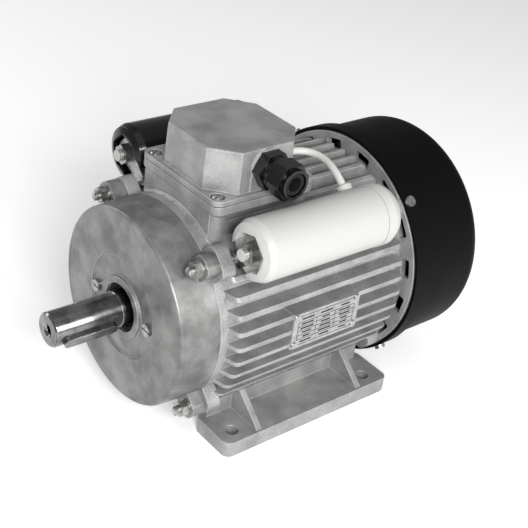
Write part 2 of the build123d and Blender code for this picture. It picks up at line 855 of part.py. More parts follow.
with BuildPart() as lid_gasket:
    with BuildSketch(Plane.XY.offset(box_flange_top_z)) as gasket:
        with Locations((box_centre_x, 0)):
            RectangleRounded(
                2 * (box_flange_half_x - gasket_inset),
                2 * (box_flange_half_y - gasket_inset),
                box_flange_corner - gasket_inset,
            )
            RectangleRounded(
                2 * (box_wall_half_x - box_wall) + 1,
                2 * (box_wall_half_y - box_wall) + 1,
                box_wall,
                mode=Mode.SUBTRACT,
            )
            with GridLocations(2 * box_column_x, 2 * box_column_y, 2, 2):
                Circle(box_column_radius - 1)
                Circle(lid_screw_radius + free_gap, mode=Mode.SUBTRACT)
    extrude(amount=gasket_thickness)
save(lid_gasket, "lid_gasket")

lid_screw_seat_z = lid_flange_top_z - lid_recess_depth
with BuildPart() as lid_screws:
    with BuildSketch(Plane.XY.offset(lid_screw_seat_z)) as heads:
        with Locations((box_centre_x, 0)):
            with GridLocations(2 * box_column_x, 2 * box_column_y, 2, 2):
                Circle(lid_screw_head_radius)
    extrude(amount=lid_screw_head_height)
    head_edges = edges().group_by(Axis.Z)[-1]
    chamfer(head_edges, 0.8)
    with BuildSketch(Plane.XY.offset(lid_screw_seat_z)) as shanks:
        with Locations((box_centre_x, 0)):
            with GridLocations(2 * box_column_x, 2 * box_column_y, 2, 2):
                Circle(lid_screw_radius)
    extrude(amount=-(lid_screw_length + lid_flange_thickness - lid_recess_depth - 1))
    with BuildSketch(Plane.XY.offset(lid_screw_seat_z + lid_screw_head_height / 2)) as slots_cut:
        with Locations((box_centre_x, 0)):
            with GridLocations(2 * box_column_x, 2 * box_column_y, 2, 2):
                Rectangle(2 * lid_screw_head_radius, 0.9, rotation=30)
    extrude(amount=lid_screw_head_height, mode=Mode.SUBTRACT)
save(lid_screws, "lid_screws")

# Terminal board with six terminals, links and an earth screw
with BuildPart() as terminal_board:
    block(
        box_centre_x - board_half_x,
        box_centre_x + board_half_x,
        -board_half_y,
        board_half_y,
        box_floor_z,
        box_floor_z + board_thickness,
    )
    with BuildSketch(Plane.XY.offset(box_floor_z)) as board_holes:
        with Locations((box_centre_x, 0)):
            with GridLocations(terminal_pitch_x, terminal_pitch_y, 2, 3):
                Circle(terminal_radius + press_gap)
        with Locations((box_centre_x - 20, 0)):
            Circle(6)
    extrude(amount=board_thickness, mode=Mode.SUBTRACT)
save(terminal_board, "terminal_board")

board_top_z = box_floor_z + board_thickness
with BuildPart() as terminal_studs:
    for column in (-0.5, 0.5):
        for row in (-1, 0, 1):
            stud_x = box_centre_x + column * terminal_pitch_x
            stud_y = row * terminal_pitch_y
            with BuildSketch(Plane.XY.offset(box_floor_z)) as stud:
                with Locations((stud_x, stud_y)):
                    Circle(terminal_radius)
            extrude(amount=board_thickness + terminal_length)
            with BuildSketch(Plane.XY.offset(board_top_z + 1.5)) as stud_nut:
                with Locations((stud_x, stud_y)):
                    RegularPolygon(terminal_nut_flats / 2, 6, major_radius=False)
            extrude(amount=terminal_nut_thickness)
save(terminal_studs, "terminal_studs")

with BuildPart() as terminal_links:
    for column in (-0.5, 0.5):
        link_x = box_centre_x + column * terminal_pitch_x
        with BuildSketch(Plane.XY.offset(board_top_z + seat_gap)) as link:
            with Locations((link_x, -terminal_pitch_y / 2)):
                SlotCenterToCenter(terminal_pitch_y, 8, rotation=90)
            with Locations((link_x, 0), (link_x, -terminal_pitch_y)):
                Circle(terminal_radius + running_gap, mode=Mode.SUBTRACT)
        extrude(amount=1.4)
save(terminal_links, "terminal_links")

with BuildPart() as earth_screw:
    with BuildSketch(Plane.XY.offset(box_floor_z)) as earth_head:
        with Locations((box_centre_x + earth_x, earth_y)):
            RegularPolygon(4, 6, major_radius=False)
    extrude(amount=3.5)
    with BuildSketch(Plane.XY.offset(box_floor_z + 3.5)) as earth_stem:
        with Locations((box_centre_x + earth_x, earth_y)):
            Circle(2.5)
    extrude(amount=3)
save(earth_screw, "earth_screw")


def across(y_start, y_end, radius, mode=Mode.ADD, flats=0.0, inner=0.0):
    """Round or hexagonal length of the cable gland, pointing out along -Y."""
    with BuildSketch(Plane.XZ.offset(-y_start)) as outline:
        with Locations((box_centre_x, gland_z)):
            if flats:
                RegularPolygon(flats / 2, 6, major_radius=False)
            else:
                Circle(radius)
            if inner:
                Circle(inner, mode=Mode.SUBTRACT)
    extrude(outline.sketch, amount=y_start - y_end, mode=mode)


# Cable gland: body, compression nut and rubber seal
gland_base_y = -gland_pad_face_y
gland_collar_y = gland_base_y - gland_base_length
gland_nut_y = gland_collar_y - gland_collar_length
gland_end_y = gland_nut_y - gland_nut_length
gland_inner_radius = gland_bore_radius + 3.2
with BuildPart() as gland_body:
    across(gland_base_y, gland_collar_y, 0, flats=gland_flats)
    across(gland_collar_y, gland_nut_y, gland_collar_radius)
    across(gland_nut_y, gland_nut_y - 8, gland_inner_radius + 1.5)
    across(-lid_half_y + 10, gland_base_y, gland_thread_radius)
    across(-lid_half_y + 10, gland_nut_y - 8, gland_inner_radius - 0.5, mode=Mode.SUBTRACT)
save(gland_body, "gland_body")

with BuildPart() as gland_nut:
    across(gland_nut_y - running_gap, gland_end_y + 3, 0, flats=gland_nut_flats)
    across(gland_end_y + 3, gland_end_y, gland_nut_flats / 2 - 1.5)
    across(gland_nut_y, gland_nut_y - 8 - running_gap, gland_inner_radius + 1.6, mode=Mode.SUBTRACT)
    across(gland_nut_y, gland_end_y, gland_inner_radius, mode=Mode.SUBTRACT)
save(gland_nut, "gland_nut")

with BuildPart() as gland_seal:
    across(gland_end_y + 1.2, gland_end_y + 1.2 + gland_seal_length, gland_inner_radius - 0.6)
    across(gland_end_y + 1.2, gland_end_y + 1.2 + gland_seal_length, gland_bore_radius, mode=Mode.SUBTRACT)
save(gland_seal, "gland_seal")


# Capacitors, each in a two-piece plastic cover on the housing shoulder
capacitor_y = capacitor_distance * cos(radians(capacitor_angle))
capacitor_z = centre_height + capacitor_distance * sin(radians(capacitor_angle))
tab_reach = capacitor_distance - rod_circle_radius - rod_radius - free_gap


def capacitor(name, side):
    """One capacitor with its cover, end cap, tab and nut; side is -1 near or 1 far."""
    front_x = cover_front_x + (start_shift_x if side > 0 else 0)
    tab_x = front_x + pocket_depth - tab_thickness
    can_start_x = front_x + can_front_x - cover_front_x
    y = side * capacitor_y
    inward_angle = 180 + capacitor_angle if side > 0 else -capacitor_angle
    with BuildPart() as cover:
        turned(
            (front_x, 0),
            (front_x, cover_radius - cover_edge_radius),
            (front_x + cover_edge_radius * 0.3, cover_radius - cover_edge_radius * 0.3),
            (front_x + cover_edge_radius, cover_radius),
            (cover_seam_x, cover_radius),
            (cover_seam_x, can_radius + running_gap),
            (can_start_x - seat_gap, can_radius + running_gap),
            (can_start_x - seat_gap, 0),
            y=y,
            z=capacitor_z,
        )
        # Six-sided pocket for the fixing tab, open towards the motor
        with BuildSketch(station(front_x, y, capacitor_z)) as pocket:
            RegularPolygon(pocket_flats / 2, 6, major_radius=False, rotation=inward_angle + 30)
            with PolarLocations(0, 1, start_angle=inward_angle):
                with Locations((cover_radius, 0)):
                    Rectangle(2 * cover_radius, pocket_flats * 0.9)
        extrude(amount=pocket_depth, mode=Mode.SUBTRACT)
        disc(
            front_x + pocket_depth,
            can_start_x,
            capacitor_stud_radius + running_gap,
            y=y,
            z=capacitor_z,
            mode=Mode.SUBTRACT,
        )
        # Lead snout on the top
        snout = side * cos(radians(snout_angle)) * -1
        direction = Vector(0, snout, sin(radians(snout_angle)))
        root = Vector(snout_x, y, capacitor_z) + direction * (can_radius + running_gap + 0.4)
        with BuildSketch(Plane(origin=root, z_dir=direction)) as snout_outline:
            Circle(snout_radius)
            Circle(lead_radius + running_gap, mode=Mode.SUBTRACT)
        extrude(amount=cover_radius + snout_length - can_radius)
        with BuildSketch(Plane(origin=root, z_dir=direction)) as snout_bore:
            Circle(lead_radius + running_gap)
        extrude(amount=cover_radius + snout_length, mode=Mode.SUBTRACT)
    save(cover, f"{name}_capacitor_cover")
    with BuildPart() as end_cap:
        turned(
            (cover_seam_x + press_gap, can_radius + running_gap),
            (cover_seam_x + press_gap, cover_cap_radius),
            (cover_rear_x - cover_edge_radius, cover_cap_radius),
            (cover_rear_x - cover_edge_radius * 0.3, cover_cap_radius - cover_edge_radius * 0.3),
            (cover_rear_x, cover_cap_radius - cover_edge_radius),
            (cover_rear_x, 0),
            (can_rear_x + seat_gap, 0),
            (can_rear_x + seat_gap, can_radius + running_gap),
            y=y,
            z=capacitor_z,
        )
    save(end_cap, f"{name}_capacitor_end_cap")
    with BuildPart() as can:
        disc(can_start_x, can_rear_x, can_radius, y=y, z=capacitor_z)
        disc(can_start_x - capacitor_stud_length, can_start_x, capacitor_stud_radius, y=y, z=capacitor_z)
    save(can, f"{name}_capacitor")
    with BuildPart() as tab:
        with BuildSketch(station(tab_x, y, capacitor_z)) as tab_outline:
            RegularPolygon(tab_flats / 2, 6, major_radius=False, rotation=inward_angle + 30)
            with PolarLocations(0, 1, start_angle=inward_angle):
                with Locations((tab_reach / 2, 0)):
                    Rectangle(tab_reach, tab_strip_width)
            Circle(capacitor_stud_radius + running_gap, mode=Mode.SUBTRACT)
        extrude(amount=tab_thickness)
        # Clip that hooks over the tie rod
        rod_y = side * rod_circle_radius * cos(radians(45))
        rod_z = centre_height + rod_circle_radius * sin(radians(45))
        disc(tab_x - 1.5, tab_x + tab_thickness, rod_radius + 2, y=rod_y, z=rod_z)
        disc(
            tab_x - 1.5,
            tab_x + tab_thickness,
            rod_radius + seat_gap,
            y=rod_y,
            z=rod_z,
            mode=Mode.SUBTRACT,
        )
    save(tab, f"{name}_capacitor_tab")
    with BuildPart() as nut:
        hexagon(tab_x - capacitor_nut_thickness, tab_x, capacitor_nut_flats, y=y, z=capacitor_z, rotation=20)
        disc(
            tab_x - capacitor_nut_thickness,
            tab_x,
            capacitor_stud_radius + press_gap,
            y=y,
            z=capacitor_z,
            mode=Mode.SUBTRACT,
        )
    save(nut, f"{name}_capacitor_nut")


capacitor("run", -1)
capacitor("start", 1)

# Leads from the lid to the capacitors, with their grommets
with BuildPart() as lead_grommets:
    for side in (-1, 1):
        wall_x = box_centre_x + lid_half_x + (lid_top_z - lead_exit_z) * sin(radians(lid_draft))
        disc(wall_x + 0.3, wall_x + 2.3, grommet_radius, y=side * lead_exit_y, z=lead_exit_z)
        disc(wall_x - lid_wall, wall_x + 0.3, grommet_radius - 1.1, y=side * lead_exit_y, z=lead_exit_z)
        disc(
            wall_x - lid_wall,
            wall_x + 2.3,
            lead_radius + running_gap,
            y=side * lead_exit_y,
            z=lead_exit_z,
            mode=Mode.SUBTRACT,
        )
save(lead_grommets, "lead_grommets")


def snout_point(side, out):
    """Point on the axis of a cover's lead snout, at a distance from the can's line."""
    return (
        snout_x,
        side * (capacitor_y - out * cos(radians(snout_angle))),
        capacitor_z + out * sin(radians(snout_angle)),
    )


def lead(name, points):
    """Round lead along straight runs joined by tangent arcs."""
    path_points = [Vector(*point) for point in points]
    radii = []
    for before, corner, after in zip(path_points, path_points[1:], path_points[2:]):
        turn = (corner - before).get_angle(after - corner)
        shorter = min((corner - before).length, (after - corner).length)
        radii.append(0.45 * shorter / tan(radians(turn / 2)))
    print(name, "bend radii", [round(radius, 1) for radius in radii])
    path = FilletPolyline(*path_points, radius=radii)
    print(name, "length", round(path.length, 1))
    with BuildPart() as tube:
        with BuildSketch(Plane(origin=path @ 0, z_dir=path % 0)) as section:
            Circle(lead_radius)
        sweep(section.sketch, path=path)
    save(tube, name)


lead_start_x = box_centre_x + lid_half_x - 5
lead(
    "run_lead",
    [
        (lead_start_x, -lead_exit_y, lead_exit_z),
        (lead_start_x + 16.8, -lead_exit_y, lead_exit_z),
        (snout_x + 5.8, -lead_exit_y - 13.3, lead_exit_z - 0.5),
        snout_point(-1, cover_radius + snout_length + 11),
        snout_point(-1, cover_radius + snout_length - 2),
    ],
)
lead(
    "start_lead",
    [
        (lead_start_x, lead_exit_y, lead_exit_z),
        (lead_start_x + 19.9, lead_exit_y, lead_exit_z),
        (snout_x + 9.4, lead_exit_y + 18, lead_exit_z + 3.1),
        snout_point(1, cover_radius + snout_length + 10.5),
        snout_point(1, cover_radius + snout_length - 2),
    ],
)

# Fan cowl: pressed band, drum and rounded back with a ring grille
with BuildPart() as fan_cowl:
    with BuildSketch(half_section) as cowl_section:
        with BuildLine() as cowl_outline:
            Polyline(
                (cowl_front_x, cowl_band_radius - cowl_wall),
                (cowl_front_x, cowl_band_radius),
                (cowl_step_x, cowl_band_radius),
                (cowl_step_x + 1.5, cowl_radius),
                (cowl_rear_x, cowl_radius),
                (cowl_rear_x, 0),
                (cowl_rear_x - cowl_wall, 0),
                (cowl_rear_x - cowl_wall, cowl_radius - cowl_wall),
                (cowl_step_x + 0.5, cowl_radius - cowl_wall),
                (cowl_step_x - 1, cowl_band_radius - cowl_wall),
                close=True,
            )
        make_face()
        back_outer = cowl_section.vertices().filter_by_position(Axis.X, cowl_rear_x - 0.1, cowl_rear_x + 0.1)
        fillet(back_outer.sort_by(Axis.Y)[-1], cowl_edge_radius)
        back_inner = cowl_section.vertices().filter_by_position(
            Axis.X, cowl_rear_x - cowl_wall - 0.1, cowl_rear_x - cowl_wall + 0.1
        )
        fillet(back_inner.sort_by(Axis.Y)[-1], cowl_edge_radius - cowl_wall)
    revolve(axis=shaft_axis)
    ring_pitch = (grille_outer_radius - grille_inner_radius) / grille_ring_count
    with BuildSketch(station(cowl_rear_x - cowl_wall - 1)) as grille:
        for ring in reversed(range(grille_ring_count)):
            slot_inner = grille_inner_radius + ring * ring_pitch
            Circle(slot_inner + grille_slot_width)
            Circle(slot_inner, mode=Mode.SUBTRACT)
        with PolarLocations(0, grille_sectors, start_angle=22.5):
            with Locations((grille_outer_radius / 2 + 5, 0)):
                Rectangle(grille_outer_radius + 20, grille_rib_width, mode=Mode.SUBTRACT)
    extrude(amount=cowl_wall + 2, mode=Mode.SUBTRACT)
    for angle in lug_angles:
        direction = Vector(0, cos(radians(angle)), sin(radians(angle)))
        start = Vector(cowl_screw_x, 0, centre_height) + direction * (cowl_band_radius - 6)
        with BuildSketch(Plane(origin=start, z_dir=direction)) as screw_hole:
            Circle(cowl_screw_radius + free_gap)
        extrude(amount=12, mode=Mode.SUBTRACT)
save(fan_cowl, "fan_cowl")

with BuildPart() as cowl_screws:
    for angle in lug_angles:
        direction = Vector(0, cos(radians(angle)), sin(radians(angle)))
        seat = Vector(cowl_screw_x, 0, centre_height) + direction * (cowl_band_radius + seat_gap)
        with BuildSketch(Plane(origin=seat, z_dir=direction)) as screw_head:
            Circle(cowl_screw_head_radius)
        extrude(amount=cowl_screw_head_height)
        with BuildSketch(Plane(origin=seat, z_dir=direction)) as screw_shank:
            Circle(cowl_screw_radius)
        extrude(amount=-cowl_screw_length)
        top = seat + direction * (cowl_screw_head_height / 2)
        with BuildSketch(Plane(origin=top, z_dir=direction)) as screw_slot:
            Rectangle(2 * cowl_screw_head_radius, 1.1)
        extrude(amount=cowl_screw_head_height, mode=Mode.SUBTRACT)
save(cowl_screws, "cowl_screws")

# Nameplate and rivets on the pad
with BuildPart() as nameplate:
    with BuildSketch(Plane.XZ.offset(pad_face_y)) as plate:
        with Locations((0, centre_height)):
            RectangleRounded(2 * plate_half_length, 2 * plate_half_height, 2)
            with GridLocations(2 * plate_half_length - 6, 2 * plate_half_height - 6, 2, 2):
                Circle(rivet_radius + press_gap, mode=Mode.SUBTRACT)
    extrude(amount=plate_thickness)
save(nameplate, "nameplate")

with BuildPart() as nameplate_rivets:
    with BuildSketch(Plane.XZ.offset(pad_face_y)) as rivet_shanks:
        with Locations((0, centre_height)):
            with GridLocations(2 * plate_half_length - 6, 2 * plate_half_height - 6, 2, 2):
                Circle(rivet_radius)
    extrude(amount=plate_thickness)
    with BuildSketch(Plane.XZ.offset(pad_face_y + plate_thickness)) as rivet_heads:
        with Locations((0, centre_height)):
            with GridLocations(2 * plate_half_length - 6, 2 * plate_half_height - 6, 2, 2):
                Circle(rivet_head_radius)
    extrude(amount=0.9)
save(nameplate_rivets, "nameplate_rivets")

# Shaft, turned in one piece, with its keyway and centre hole
shaft_end_x = shoulder_x - shaft_end_length
front_journal_x = front_bearing_rear_x + press_gap
rear_journal_x = rear_bearing_x - press_gap
with BuildPart() as shaft:
    turned(
        (shaft_end_x, 0),
        (shaft_end_x, shaft_end_radius - 1.2),
        (shaft_end_x + 1.2, shaft_end_radius),
        (shoulder_x, shaft_end_radius),
        (shoulder_x, bearing_bore_radius),
        (front_journal_x, bearing_bore_radius),
        (front_journal_x, journal_shoulder_radius),
        (core_front_x - end_ring_length, journal_shoulder_radius),
        (core_front_x - end_ring_length, rotor_seat_radius),
        (core_rear_x + end_ring_length, rotor_seat_radius),
        (core_rear_x + end_ring_length, journal_shoulder_radius),
        (rear_journal_x, journal_shoulder_radius),
        (rear_journal_x, bearing_bore_radius),
        (rear_pocket_end_x + 2, bearing_bore_radius),
        (rear_pocket_end_x + 2, fan_seat_radius),
        (shaft_rear_x - 1, fan_seat_radius),
        (shaft_rear_x, fan_seat_radius - 1),
        (shaft_rear_x, 0),
    )
    key_direction = Vector(0, -cos(radians(key_angle)), -sin(radians(key_angle)))
    keyway_floor = Vector(shoulder_x - shaft_end_length / 2, 0, centre_height) + key_direction * (
        shaft_end_radius - keyway_depth
    )
    keyway_plane = Plane(origin=keyway_floor, x_dir=(1, 0, 0), z_dir=key_direction)
    with BuildSketch(keyway_plane) as keyway:
        SlotOverall(key_length + 2 * seat_gap, key_width + 2 * seat_gap)
    extrude(amount=keyway_depth + 2, mode=Mode.SUBTRACT)
    disc(shaft_end_x, shaft_end_x + centre_thread_depth, centre_thread_radius, mode=Mode.SUBTRACT)
    turned(
        (shaft_end_x - 1, 0),
        (shaft_end_x - 1, centre_thread_radius + 2.6),
        (shaft_end_x + 1.6, centre_thread_radius),
        (shaft_end_x + 1.6, 0),
        mode=Mode.SUBTRACT,
    )
    disc(
        fan_hub_rear_x + press_gap,
        fan_hub_rear_x + press_gap + circlip_thickness + 0.1,
        fan_seat_radius + 1,
        fan_seat_radius - 0.8,
        mode=Mode.SUBTRACT,
    )
save(shaft, "shaft")

with BuildPart() as shaft_key:
    with BuildSketch(keyway_plane) as key:
        SlotOverall(key_length, key_width)
    extrude(amount=key_height)
save(shaft_key, "shaft_key")

# Rotor: core with cast end rings and paddles
rotor_radius = stator_bore_radius - air_gap
with BuildPart() as rotor_core:
    disc(core_front_x, core_rear_x, rotor_radius, rotor_seat_radius + press_gap)
save(rotor_core, "rotor_core")

with BuildPart() as rotor_cage:
    for start, direction in ((core_front_x, -1), (core_rear_x, 1)):
        disc(start, start + direction * end_ring_length, end_ring_outer, end_ring_inner)
    with BuildSketch(station(core_rear_x + end_ring_length)) as paddles:
        with PolarLocations(0, rotor_blade_count):
            with Locations((end_ring_outer - 3.5, 0)):
                Rectangle(6, 2.4)
    extrude(amount=rotor_blade_length)
save(rotor_cage, "rotor_cage")

# Fan with straight radial blades, and its circlip
with BuildPart() as fan:
    disc(fan_hub_front_x, fan_hub_rear_x, fan_hub_radius)
    disc(fan_disc_x, fan_disc_x + fan_disc_thickness, fan_radius)
    with BuildSketch(station(fan_disc_x)) as blades:
        with PolarLocations(0, fan_blade_count):
            with Locations(((fan_hub_radius + fan_radius) / 2 - 1, 0)):
                Rectangle(fan_radius - fan_hub_radius + 1, fan_blade_thickness)
    extrude(amount=fan_blade_depth)
    disc(fan_hub_front_x, fan_hub_rear_x, fan_seat_radius + press_gap, mode=Mode.SUBTRACT)
save(fan, "fan")

with BuildPart() as fan_circlip:
    circlip_x = fan_hub_rear_x + press_gap + 0.05
    with BuildSketch(station(circlip_x)) as circlip:
        Circle(fan_seat_radius + 2.5)
        Circle(fan_seat_radius - 0.8 + press_gap, mode=Mode.SUBTRACT)
        with Locations((0, fan_seat_radius + 1)):
            Rectangle(6, 6, mode=Mode.SUBTRACT)
    extrude(amount=circlip_thickness)
save(fan_circlip, "fan_circlip")

# Centrifugal switch: governor on the shaft, collar, two weights and the fixed contacts
with BuildPart() as governor_hub:
    disc(
        governor_disc_front_x,
        governor_disc_rear_x,
        governor_disc_radius,
        journal_shoulder_radius + press_gap,
    )
    for side in (-1, 1):
        for ear_side in (-1, 1):
            ear_start = ear_side * (weight_half_width + ear_gap)
            with BuildSketch(Plane.XZ.offset(-ear_start)) as ear:
                with Locations((pivot_x, centre_height + side * pivot_radius)):
                    Circle(3)
                arm_middle_x = (pivot_x + governor_disc_rear_x) / 2
                with Locations((arm_middle_x, centre_height + side * (pivot_radius - 2.8))):
                    Rectangle(governor_disc_rear_x - pivot_x, 4)
                leg_middle_x = (governor_disc_front_x + governor_disc_rear_x) / 2
                with Locations((leg_middle_x, centre_height + side * (governor_disc_radius + 0.5))):
                    Rectangle(governor_disc_rear_x - governor_disc_front_x, 8)
            extrude(amount=-ear_side * ear_thickness)
        with BuildSketch(Plane.XZ.offset(-(weight_half_width + ear_gap + ear_thickness))) as pin:
            with Locations((pivot_x, centre_height + side * pivot_radius)):
                Circle(pivot_pin_radius)
        extrude(amount=2 * (weight_half_width + ear_gap + ear_thickness))
save(governor_hub, "governor_hub")

groove_middle_x = pivot_x
with BuildPart() as governor_collar:
    turned(
        (collar_front_x, journal_shoulder_radius + running_gap),
        (collar_front_x, push_disc_radius),
        (collar_front_x + push_disc_thickness, push_disc_radius),
        (collar_front_x + push_disc_thickness, finger_tip_radius - 1.2),
        (groove_middle_x - groove_width / 2 - 1.6, finger_tip_radius - 1.2),
        (groove_middle_x - groove_width / 2 - 1.6, finger_tip_radius + groove_wall_height),
        (groove_middle_x - groove_width / 2, finger_tip_radius + groove_wall_height),
        (groove_middle_x - groove_width / 2, finger_tip_radius - finger_thickness / 2 - groove_floor_gap),
        (groove_middle_x + groove_width / 2, finger_tip_radius - finger_thickness / 2 - groove_floor_gap),
        (groove_middle_x + groove_width / 2, finger_tip_radius + groove_wall_height),
        (groove_middle_x + groove_width / 2 + 1.6, finger_tip_radius + groove_wall_height),
        (groove_middle_x + groove_width / 2 + 1.6, journal_shoulder_radius + running_gap),
    )
save(governor_collar, "governor_collar")

for letter, side in (("a", 1), ("b", -1)):
    with BuildPart() as weight:
        with BuildSketch(Plane.XZ.offset(-weight_half_width)) as weight_outline:
            with Locations((pivot_x, centre_height + side * pivot_radius)):
                Circle(3.2)
            weight_middle_x = (pivot_x + weight_rear_x) / 2 + 1
            with Locations((weight_middle_x, centre_height + side * (weight_outer + weight_inner) / 2)):
                Rectangle(weight_rear_x - pivot_x - 2, weight_outer - weight_inner)
            with Locations((pivot_x, centre_height + side * (pivot_radius + finger_tip_radius) / 2)):
                Rectangle(finger_thickness, pivot_radius - finger_tip_radius)
            with Locations((pivot_x, centre_height + side * finger_tip_radius)):
                Circle(finger_thickness / 2)
            with Locations((pivot_x, centre_height + side * pivot_radius)):
                Circle(pivot_pin_radius + running_gap / 2, mode=Mode.SUBTRACT)
        extrude(amount=2 * weight_half_width)
    save(weight, f"governor_weight_{letter}")

spring_front_x = pivot_x + groove_width / 2 + 1.6 + collar_travel
with BuildPart() as governor_spring:
    disc(
        spring_front_x + free_gap,
        governor_disc_front_x,
        finger_tip_radius,
        journal_shoulder_radius + 0.5,
    )
save(governor_spring, "governor_spring")

arm_x = collar_front_x - free_gap - arm_thickness
plate_x = cap_rear_x + seat_gap
with BuildPart() as switch_plate:
    with BuildSketch(station(plate_x)) as plate_outline:
        Circle(hub_radius - 2.5)
        Circle(shaft_clearance_radius + 1, mode=Mode.SUBTRACT)
        with Locations((0, -hub_radius)):
            Rectangle(2 * hub_radius, hub_radius * 0.9, mode=Mode.SUBTRACT)
    extrude(amount=switch_plate_thickness)
    with BuildSketch(station(plate_x)) as contact_block:
        with Locations((-26, 0)):
            Rectangle(5, 9)
    extrude(amount=arm_x - running_gap - plate_x)
    for ear_z in (-6.5, 6.5):
        with BuildSketch(Plane.XY.offset(centre_height + ear_z - 1)) as hinge_ear:
            with Locations(((plate_x + arm_x) / 2 + 1, switch_hinge_y)):
                Rectangle(arm_x - plate_x + 2, 3)
        extrude(amount=2)
    with BuildSketch(Plane.XY.offset(centre_height - 7.5)) as hinge_pin:
        with Locations((arm_x + arm_thickness / 2, switch_hinge_y)):
            Circle(0.6)
    extrude(amount=15)
save(switch_plate, "switch_plate")

with BuildPart() as contact_arm:
    with BuildSketch(station(arm_x)) as arm_outline:
        Circle(push_disc_radius - 0.5)
        Circle(shaft_clearance_radius + 2, mode=Mode.SUBTRACT)
        with Locations((26, 0)):
            Rectangle(10, 9)
        with Locations((-25, 0)):
            Rectangle(7, 7)
    extrude(amount=arm_thickness)
    with BuildSketch(Plane.XY.offset(centre_height - 4.5)) as hinge_bore:
        with Locations((arm_x + arm_thickness / 2, switch_hinge_y)):
            Circle(1.4)
            Circle(0.65, mode=Mode.SUBTRACT)
    extrude(amount=9)
    with BuildSketch(Plane.XY.offset(centre_height - 4.5)) as hinge_clear:
        with Locations((arm_x + arm_thickness / 2, switch_hinge_y)):
            Circle(0.65)
    extrude(amount=9, mode=Mode.SUBTRACT)
save(contact_arm, "contact_arm")
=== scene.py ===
# %% [markdown]
# This is a foot-mounted single-phase motor: a cast aluminium housing with fins, a turned
# end shield in front, a terminal box with its gland on top, two capacitors on the shoulders
# and a black fan cowl behind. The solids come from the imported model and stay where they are.
# The cells below give them finishes, and add what a solid leaves out, such as the curved
# leads, threads, a cast fillet and a wound spring.

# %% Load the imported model
import json
import math

import bmesh
import bpy
from mathutils import Matrix, Vector


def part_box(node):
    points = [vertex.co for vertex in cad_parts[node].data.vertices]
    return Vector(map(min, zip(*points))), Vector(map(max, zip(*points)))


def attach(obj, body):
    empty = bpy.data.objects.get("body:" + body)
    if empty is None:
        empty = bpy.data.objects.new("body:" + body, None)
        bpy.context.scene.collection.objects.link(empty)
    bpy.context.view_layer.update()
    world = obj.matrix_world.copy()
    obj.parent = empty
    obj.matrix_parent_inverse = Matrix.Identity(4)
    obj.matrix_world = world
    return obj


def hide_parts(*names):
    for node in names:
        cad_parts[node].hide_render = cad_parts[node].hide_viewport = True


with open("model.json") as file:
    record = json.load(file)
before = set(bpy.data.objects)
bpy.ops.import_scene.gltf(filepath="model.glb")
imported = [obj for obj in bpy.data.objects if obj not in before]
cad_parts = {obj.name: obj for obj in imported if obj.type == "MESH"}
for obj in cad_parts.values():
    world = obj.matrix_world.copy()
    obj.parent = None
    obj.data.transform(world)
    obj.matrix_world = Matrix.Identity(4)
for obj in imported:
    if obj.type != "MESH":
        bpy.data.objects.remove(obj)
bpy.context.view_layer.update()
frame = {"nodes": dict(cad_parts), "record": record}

# %% [markdown]
# The camera stands in front of the drive end, to the left of the motor and above it. Its
# place was worked out from the feet, the lugs and the fins in the photograph. It leans a
# little, so that upright edges tip to the right.

# %% Camera
azimuth, elevation, lean = (math.radians(angle) for angle in (-42.9, 31.0, 7.8))
target = Vector((0.0117, 0.0, 0.0876))
distance = 0.8124
back = Vector(
    (
        math.sin(azimuth) * math.cos(elevation),
        -math.cos(azimuth) * math.cos(elevation),
        math.sin(elevation),
    )
)
level_right = Vector((math.cos(azimuth), math.sin(azimuth), 0))
level_up = back.cross(level_right)
right = level_right * math.cos(lean) + level_up * math.sin(lean)
up = level_up * math.cos(lean) - level_right * math.sin(lean)
place = target + back * distance
camera_data = bpy.data.cameras.new("camera")
camera_data.sensor_width = 36
camera_data.lens = 75
camera_data.clip_start = 0.05
camera = bpy.data.objects.new("camera", camera_data)
camera.matrix_world = Matrix(
    (
        (right.x, up.x, back.x, place.x),
        (right.y, up.y, back.y, place.y),
        (right.z, up.z, back.z, place.z),
        (0, 0, 0, 1),
    )
)
bpy.context.scene.collection.objects.link(camera)
bpy.context.scene.camera = camera
print("camera at", [round(value, 3) for value in place])

# %% [markdown]
# Two white leads run from the terminal-box lid to the capacitors. Each leaves its grommet
# straight, turns over and goes down into the snout of the capacitor's cover. A curve with
# a round bevel is the natural way: the control points are the route, and the curve stays
# smooth between them. The thickness is set at the points, since Blender adds a point's
# radius to the curve's box. Places are in millimetres from here on, and a capacitor's line
# runs along the shaft on each shoulder of the motor.

# %% Capacitor leads
MM = 0.001
shaft_height = 90
capacitor_distance = 103
capacitor_angle = math.radians(43.5)
capacitor_y = capacitor_distance * math.cos(capacitor_angle)
capacitor_z = shaft_height + capacitor_distance * math.sin(capacitor_angle)
snout_x = 21
snout_slope = math.radians(42)
lead_radius = 2.6


def link_piece(piece, body="base"):
    """Puts a new piece in the scene and makes it move with a body."""
    bpy.context.scene.collection.objects.link(piece)
    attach(piece, body)
    return piece


def snout_point(side, out):
    """Point on the axis of a cover's snout, so many millimetres out from the can's line."""
    inward = capacitor_y - out * math.cos(snout_slope)
    return (snout_x, side * inward, capacitor_z + out * math.sin(snout_slope))


